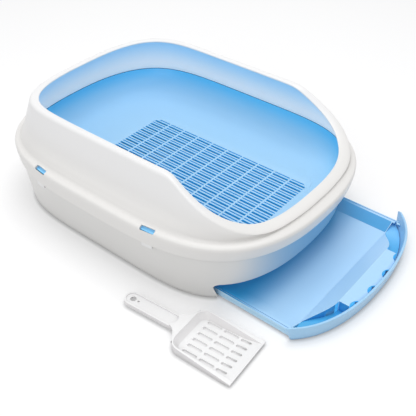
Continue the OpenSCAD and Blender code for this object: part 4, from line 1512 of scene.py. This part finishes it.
        cuts = 72
        turns = (0.0, 0.4, 0.8, 1.2, math.pi / 2)
        rounding = [(1.5 - 1.5 * math.cos(a), 1.5 - 1.5 * math.sin(a)) for a in turns]
        sections = [section(1, back, thin) for back, thin in rounding]
        sections += [section(1 - 2 * k / cuts) for k in range(1, cuts)]
        sections += [section(-1, back, thin) for back, thin in reversed(rounding)]
        n = len(sections[0])
        points = [p for s in sections for p in s]
        faces = []
        for k in range(len(sections) - 1):
            for i in range(n):
                j = (i + 1) % n
                faces.append((k * n + i, k * n + j, (k + 1) * n + j, (k + 1) * n + i))
        for i in range(n // 2 - 1):
            j = n - 1 - i
            last = (len(sections) - 1) * n
            faces.append((i, j, j - 1, i + 1))
            faces.append((last + i, last + i + 1, last + j - 1, last + j))
        panel = link("tray_front", new_mesh("tray_front", points, faces))
        bm = bmesh.new()
        bm.from_mesh(panel.data)
        bmesh.ops.remove_doubles(bm, verts=bm.verts, dist=0.01 * MM)
        bmesh.ops.recalc_face_normals(bm, faces=bm.faces)
        bm.to_mesh(panel.data)
        bm.free()
        return panel


class LITTERBOX_OT_scoop(bpy.types.Operator):
    """Slotted scoop that lies beside the box"""

    bl_idname = "litterbox.scoop"
    bl_label = "Build scoop"

    def execute(self, context):
        finish = context.scene.box_finish
        scoop = link("scoop_body", flat_faced("scoop_body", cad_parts["scoop"].data))
        # Walls take the painted shade, and the slot walls the painted glow.
        for face in scoop.data.polygons:
            upright = abs(face.normal.z) < 0.05
            if abs(face.normal.z) < 0.8:
                face.material_index = 2 if upright and face.center.z < SCOOP_SLOT_TOP else 1
        soften(scoop, 0.3, angle=40, keep=lambda e: min(v.co.z for v in e.verts) > 5 * MM, clamp=False)
        even = scoop.modifiers.new("even", "WEIGHTED_NORMAL")
        even.keep_sharp = True
        white = plastic(
            "Scoop white", finish.scoop_white, finish.gloss, wear=0.0, painted_crevice_shade=0.5, painted_crevice_reach=0.008
        )
        # Painted shade on the scoop's walls.
        side = plastic("Scoop side painted shade", finish.scoop_side_painted_shade, finish.gloss, wear=0.0, painted_crevice_shade=0.5, painted_crevice_reach=0.008)
        # Painted light: the slot walls glow though they lie in shade.
        slot = plastic("Scoop slot painted glow", finish.scoop_slot_painted_glow, finish.gloss, wear=0.0, glow=0.1, painted_crevice_shade=0.0)
        finish_piece(scoop, "scoop", "scoop_white", white, side, slot)
        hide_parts("scoop")
        return {"FINISHED"}


class LITTERBOX_OT_stage(bpy.types.Operator):
    """Plain pale floor, soft lights and the camera"""

    bl_idname = "litterbox.stage"
    bl_label = "Build studio"

    def execute(self, context):
        scene = context.scene
        scene.view_settings.view_transform = "Standard"
        floor = link("studio_floor", bpy.data.meshes.new("studio_floor"))
        half = 6.0
        floor.data.from_pydata(
            [(-half, -half, -0.0002), (half, -half, -0.0002), (half, half, -0.0002), (-half, half, -0.0002)],
            [],
            [(0, 1, 2, 3)],
        )
        floor.data.materials.append(self.floor_paper())
        floor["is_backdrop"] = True
        self.world(scene)
        for name, spot, aim, size, watts in (
            ("overhead_softbox", (0.0, 0.12, 1.75), (0.0, 0.0, 0.0), 1.1, 11.8),
            ("front_softbox", (0.5, -1.7, 1.3), (0.0, -0.1, 0.05), 1.2, 7.0),
        ):
            self.softbox(name, spot, aim, size, watts)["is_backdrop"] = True
        self.camera(scene)
        return {"FINISHED"}

    def floor_paper(self):
        """White paper: it takes soft shadows and is seen as white where it is lit, with a painted contact
        shadow next to the objects.
        """
        material = bpy.data.materials.new("Studio paper")
        material.use_nodes = True
        tree = material.node_tree
        tree.nodes.remove(tree.nodes["Principled BSDF"])
        out = tree.nodes["Material Output"]
        matte = add_node(tree, "ShaderNodeBsdfDiffuse")
        glow = add_node(tree, "ShaderNodeEmission")
        seen = add_node(tree, "ShaderNodeMath", operation="MULTIPLY")
        seen.inputs[1].default_value = PAPER_GLOW
        total = add_node(tree, "ShaderNodeAddShader")
        # Painted contact shadow: the paper and its glow turn dark where ambient occlusion finds the objects
        # close by.
        painted_contact_shadow = place_group(tree, "Painted crevice shade", Amount=0.4, Distance=0.006)
        links = tree.links
        near = painted_contact_shadow.outputs["Mask"]
        paper = blend_node(tree, near, (0.72, 0.72, 0.725), (0.2, 0.2, 0.2))
        links.new(paper, matte.inputs["Color"])
        links.new(blend_node(tree, near, (1, 1, 1), (0.1, 0.1, 0.1)), glow.inputs["Color"])
        links.new(backdrop_rays(tree), seen.inputs[0])
        links.new(seen.outputs[0], glow.inputs["Strength"])
        links.new(matte.outputs[0], total.inputs[0])
        links.new(glow.outputs[0], total.inputs[1])
        links.new(total.outputs[0], out.inputs["Surface"])
        return material

    def world(self, scene):
        """Even studio light, seen as white behind the floor."""
        world = bpy.data.worlds.new("Studio")
        scene.world = world
        world.use_nodes = True
        tree = world.node_tree
        background = tree.nodes["Background"]
        background.inputs["Color"].default_value = (1, 1, 1, 1)
        seen = add_node(tree, "ShaderNodeMapRange", To_Min=WORLD_LIGHT, To_Max=1.0)
        tree.links.new(backdrop_rays(tree), seen.inputs["Value"])
        tree.links.new(seen.outputs[0], background.inputs["Strength"])

    def softbox(self, name, spot, aim, size, watts):
        lamp = bpy.data.lights.new(name, "AREA")
        lamp.shape = "SQUARE"
        lamp.size = size
        lamp.energy = watts
        obj = bpy.data.objects.new(name, lamp)
        obj.location = spot
        obj.rotation_euler = (Vector(aim) - Vector(spot)).to_track_quat("-Z", "Y").to_euler()
        bpy.context.scene.collection.objects.link(obj)
        return obj

    def camera(self, scene):
        """A camera above the near right corner, looking down at the box."""
        turn, climb, roll = (math.radians(v) for v in CAMERA_ANGLES)
        back = Vector((math.sin(turn) * math.cos(climb), -math.cos(turn) * math.cos(climb), math.sin(climb)))
        right = (-back).cross(Vector((0, 0, 1))).normalized()
        up = right.cross(-back)
        right, up = (
            right * math.cos(roll) + up * math.sin(roll),
            up * math.cos(roll) - right * math.sin(roll),
        )
        lens = bpy.data.cameras.new("camera")
        lens.sensor_width = SENSOR_WIDTH
        lens.lens = SENSOR_WIDTH * FOCAL_LENGTH / FRAME_WIDTH
        obj = bpy.data.objects.new("camera", lens)
        place = Matrix((right, up, back)).transposed().to_4x4()
        place.translation = CAMERA_SPOT
        obj.matrix_world = place
        scene.collection.objects.link(obj)
        scene.camera = obj


class LITTERBOX_PT_panel(bpy.types.Panel):
    """Builds the litter box piece by piece"""

    bl_label = "Litter Box"
    bl_space_type = "VIEW_3D"
    bl_region_type = "UI"
    bl_category = "Litter Box"

    def draw(self, context):
        for operator in OPERATORS:
            self.layout.operator(operator.bl_idname)
        for group in (context.scene.box_sizes, context.scene.box_finish):
            for name in type(group).__annotations__:
                self.layout.prop(group, name)


OPERATORS = (
    LITTERBOX_OT_base,
    LITTERBOX_OT_pan,
    LITTERBOX_OT_shield,
    LITTERBOX_OT_drawer,
    LITTERBOX_OT_scoop,
    LITTERBOX_OT_stage,
)
CLASSES = (BoxSizes, BoxFinish, *OPERATORS, LITTERBOX_PT_panel)


def register():
    for cls in CLASSES:
        bpy.utils.register_class(cls)
    bpy.types.Scene.box_sizes = PointerProperty(type=BoxSizes)
    bpy.types.Scene.box_finish = PointerProperty(type=BoxFinish)


def unregister():
    del bpy.types.Scene.box_finish
    del bpy.types.Scene.box_sizes
    for cls in reversed(CLASSES):
        bpy.utils.unregister_class(cls)


def main():
    """Builds everything and works out the size of the solids and of the dressed part."""
    register()
    bpy.ops.litterbox.base()
    bpy.ops.litterbox.pan()
    bpy.ops.litterbox.shield()
    bpy.ops.litterbox.drawer()
    bpy.ops.litterbox.scoop()
    bpy.ops.litterbox.stage()
    boxes = {"cad": CAD_BOX, "visual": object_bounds()}
    plain = {key: [[float(v) for v in corner] for corner in box] for key, box in boxes.items()}


if __name__ == "__main__":
    main()
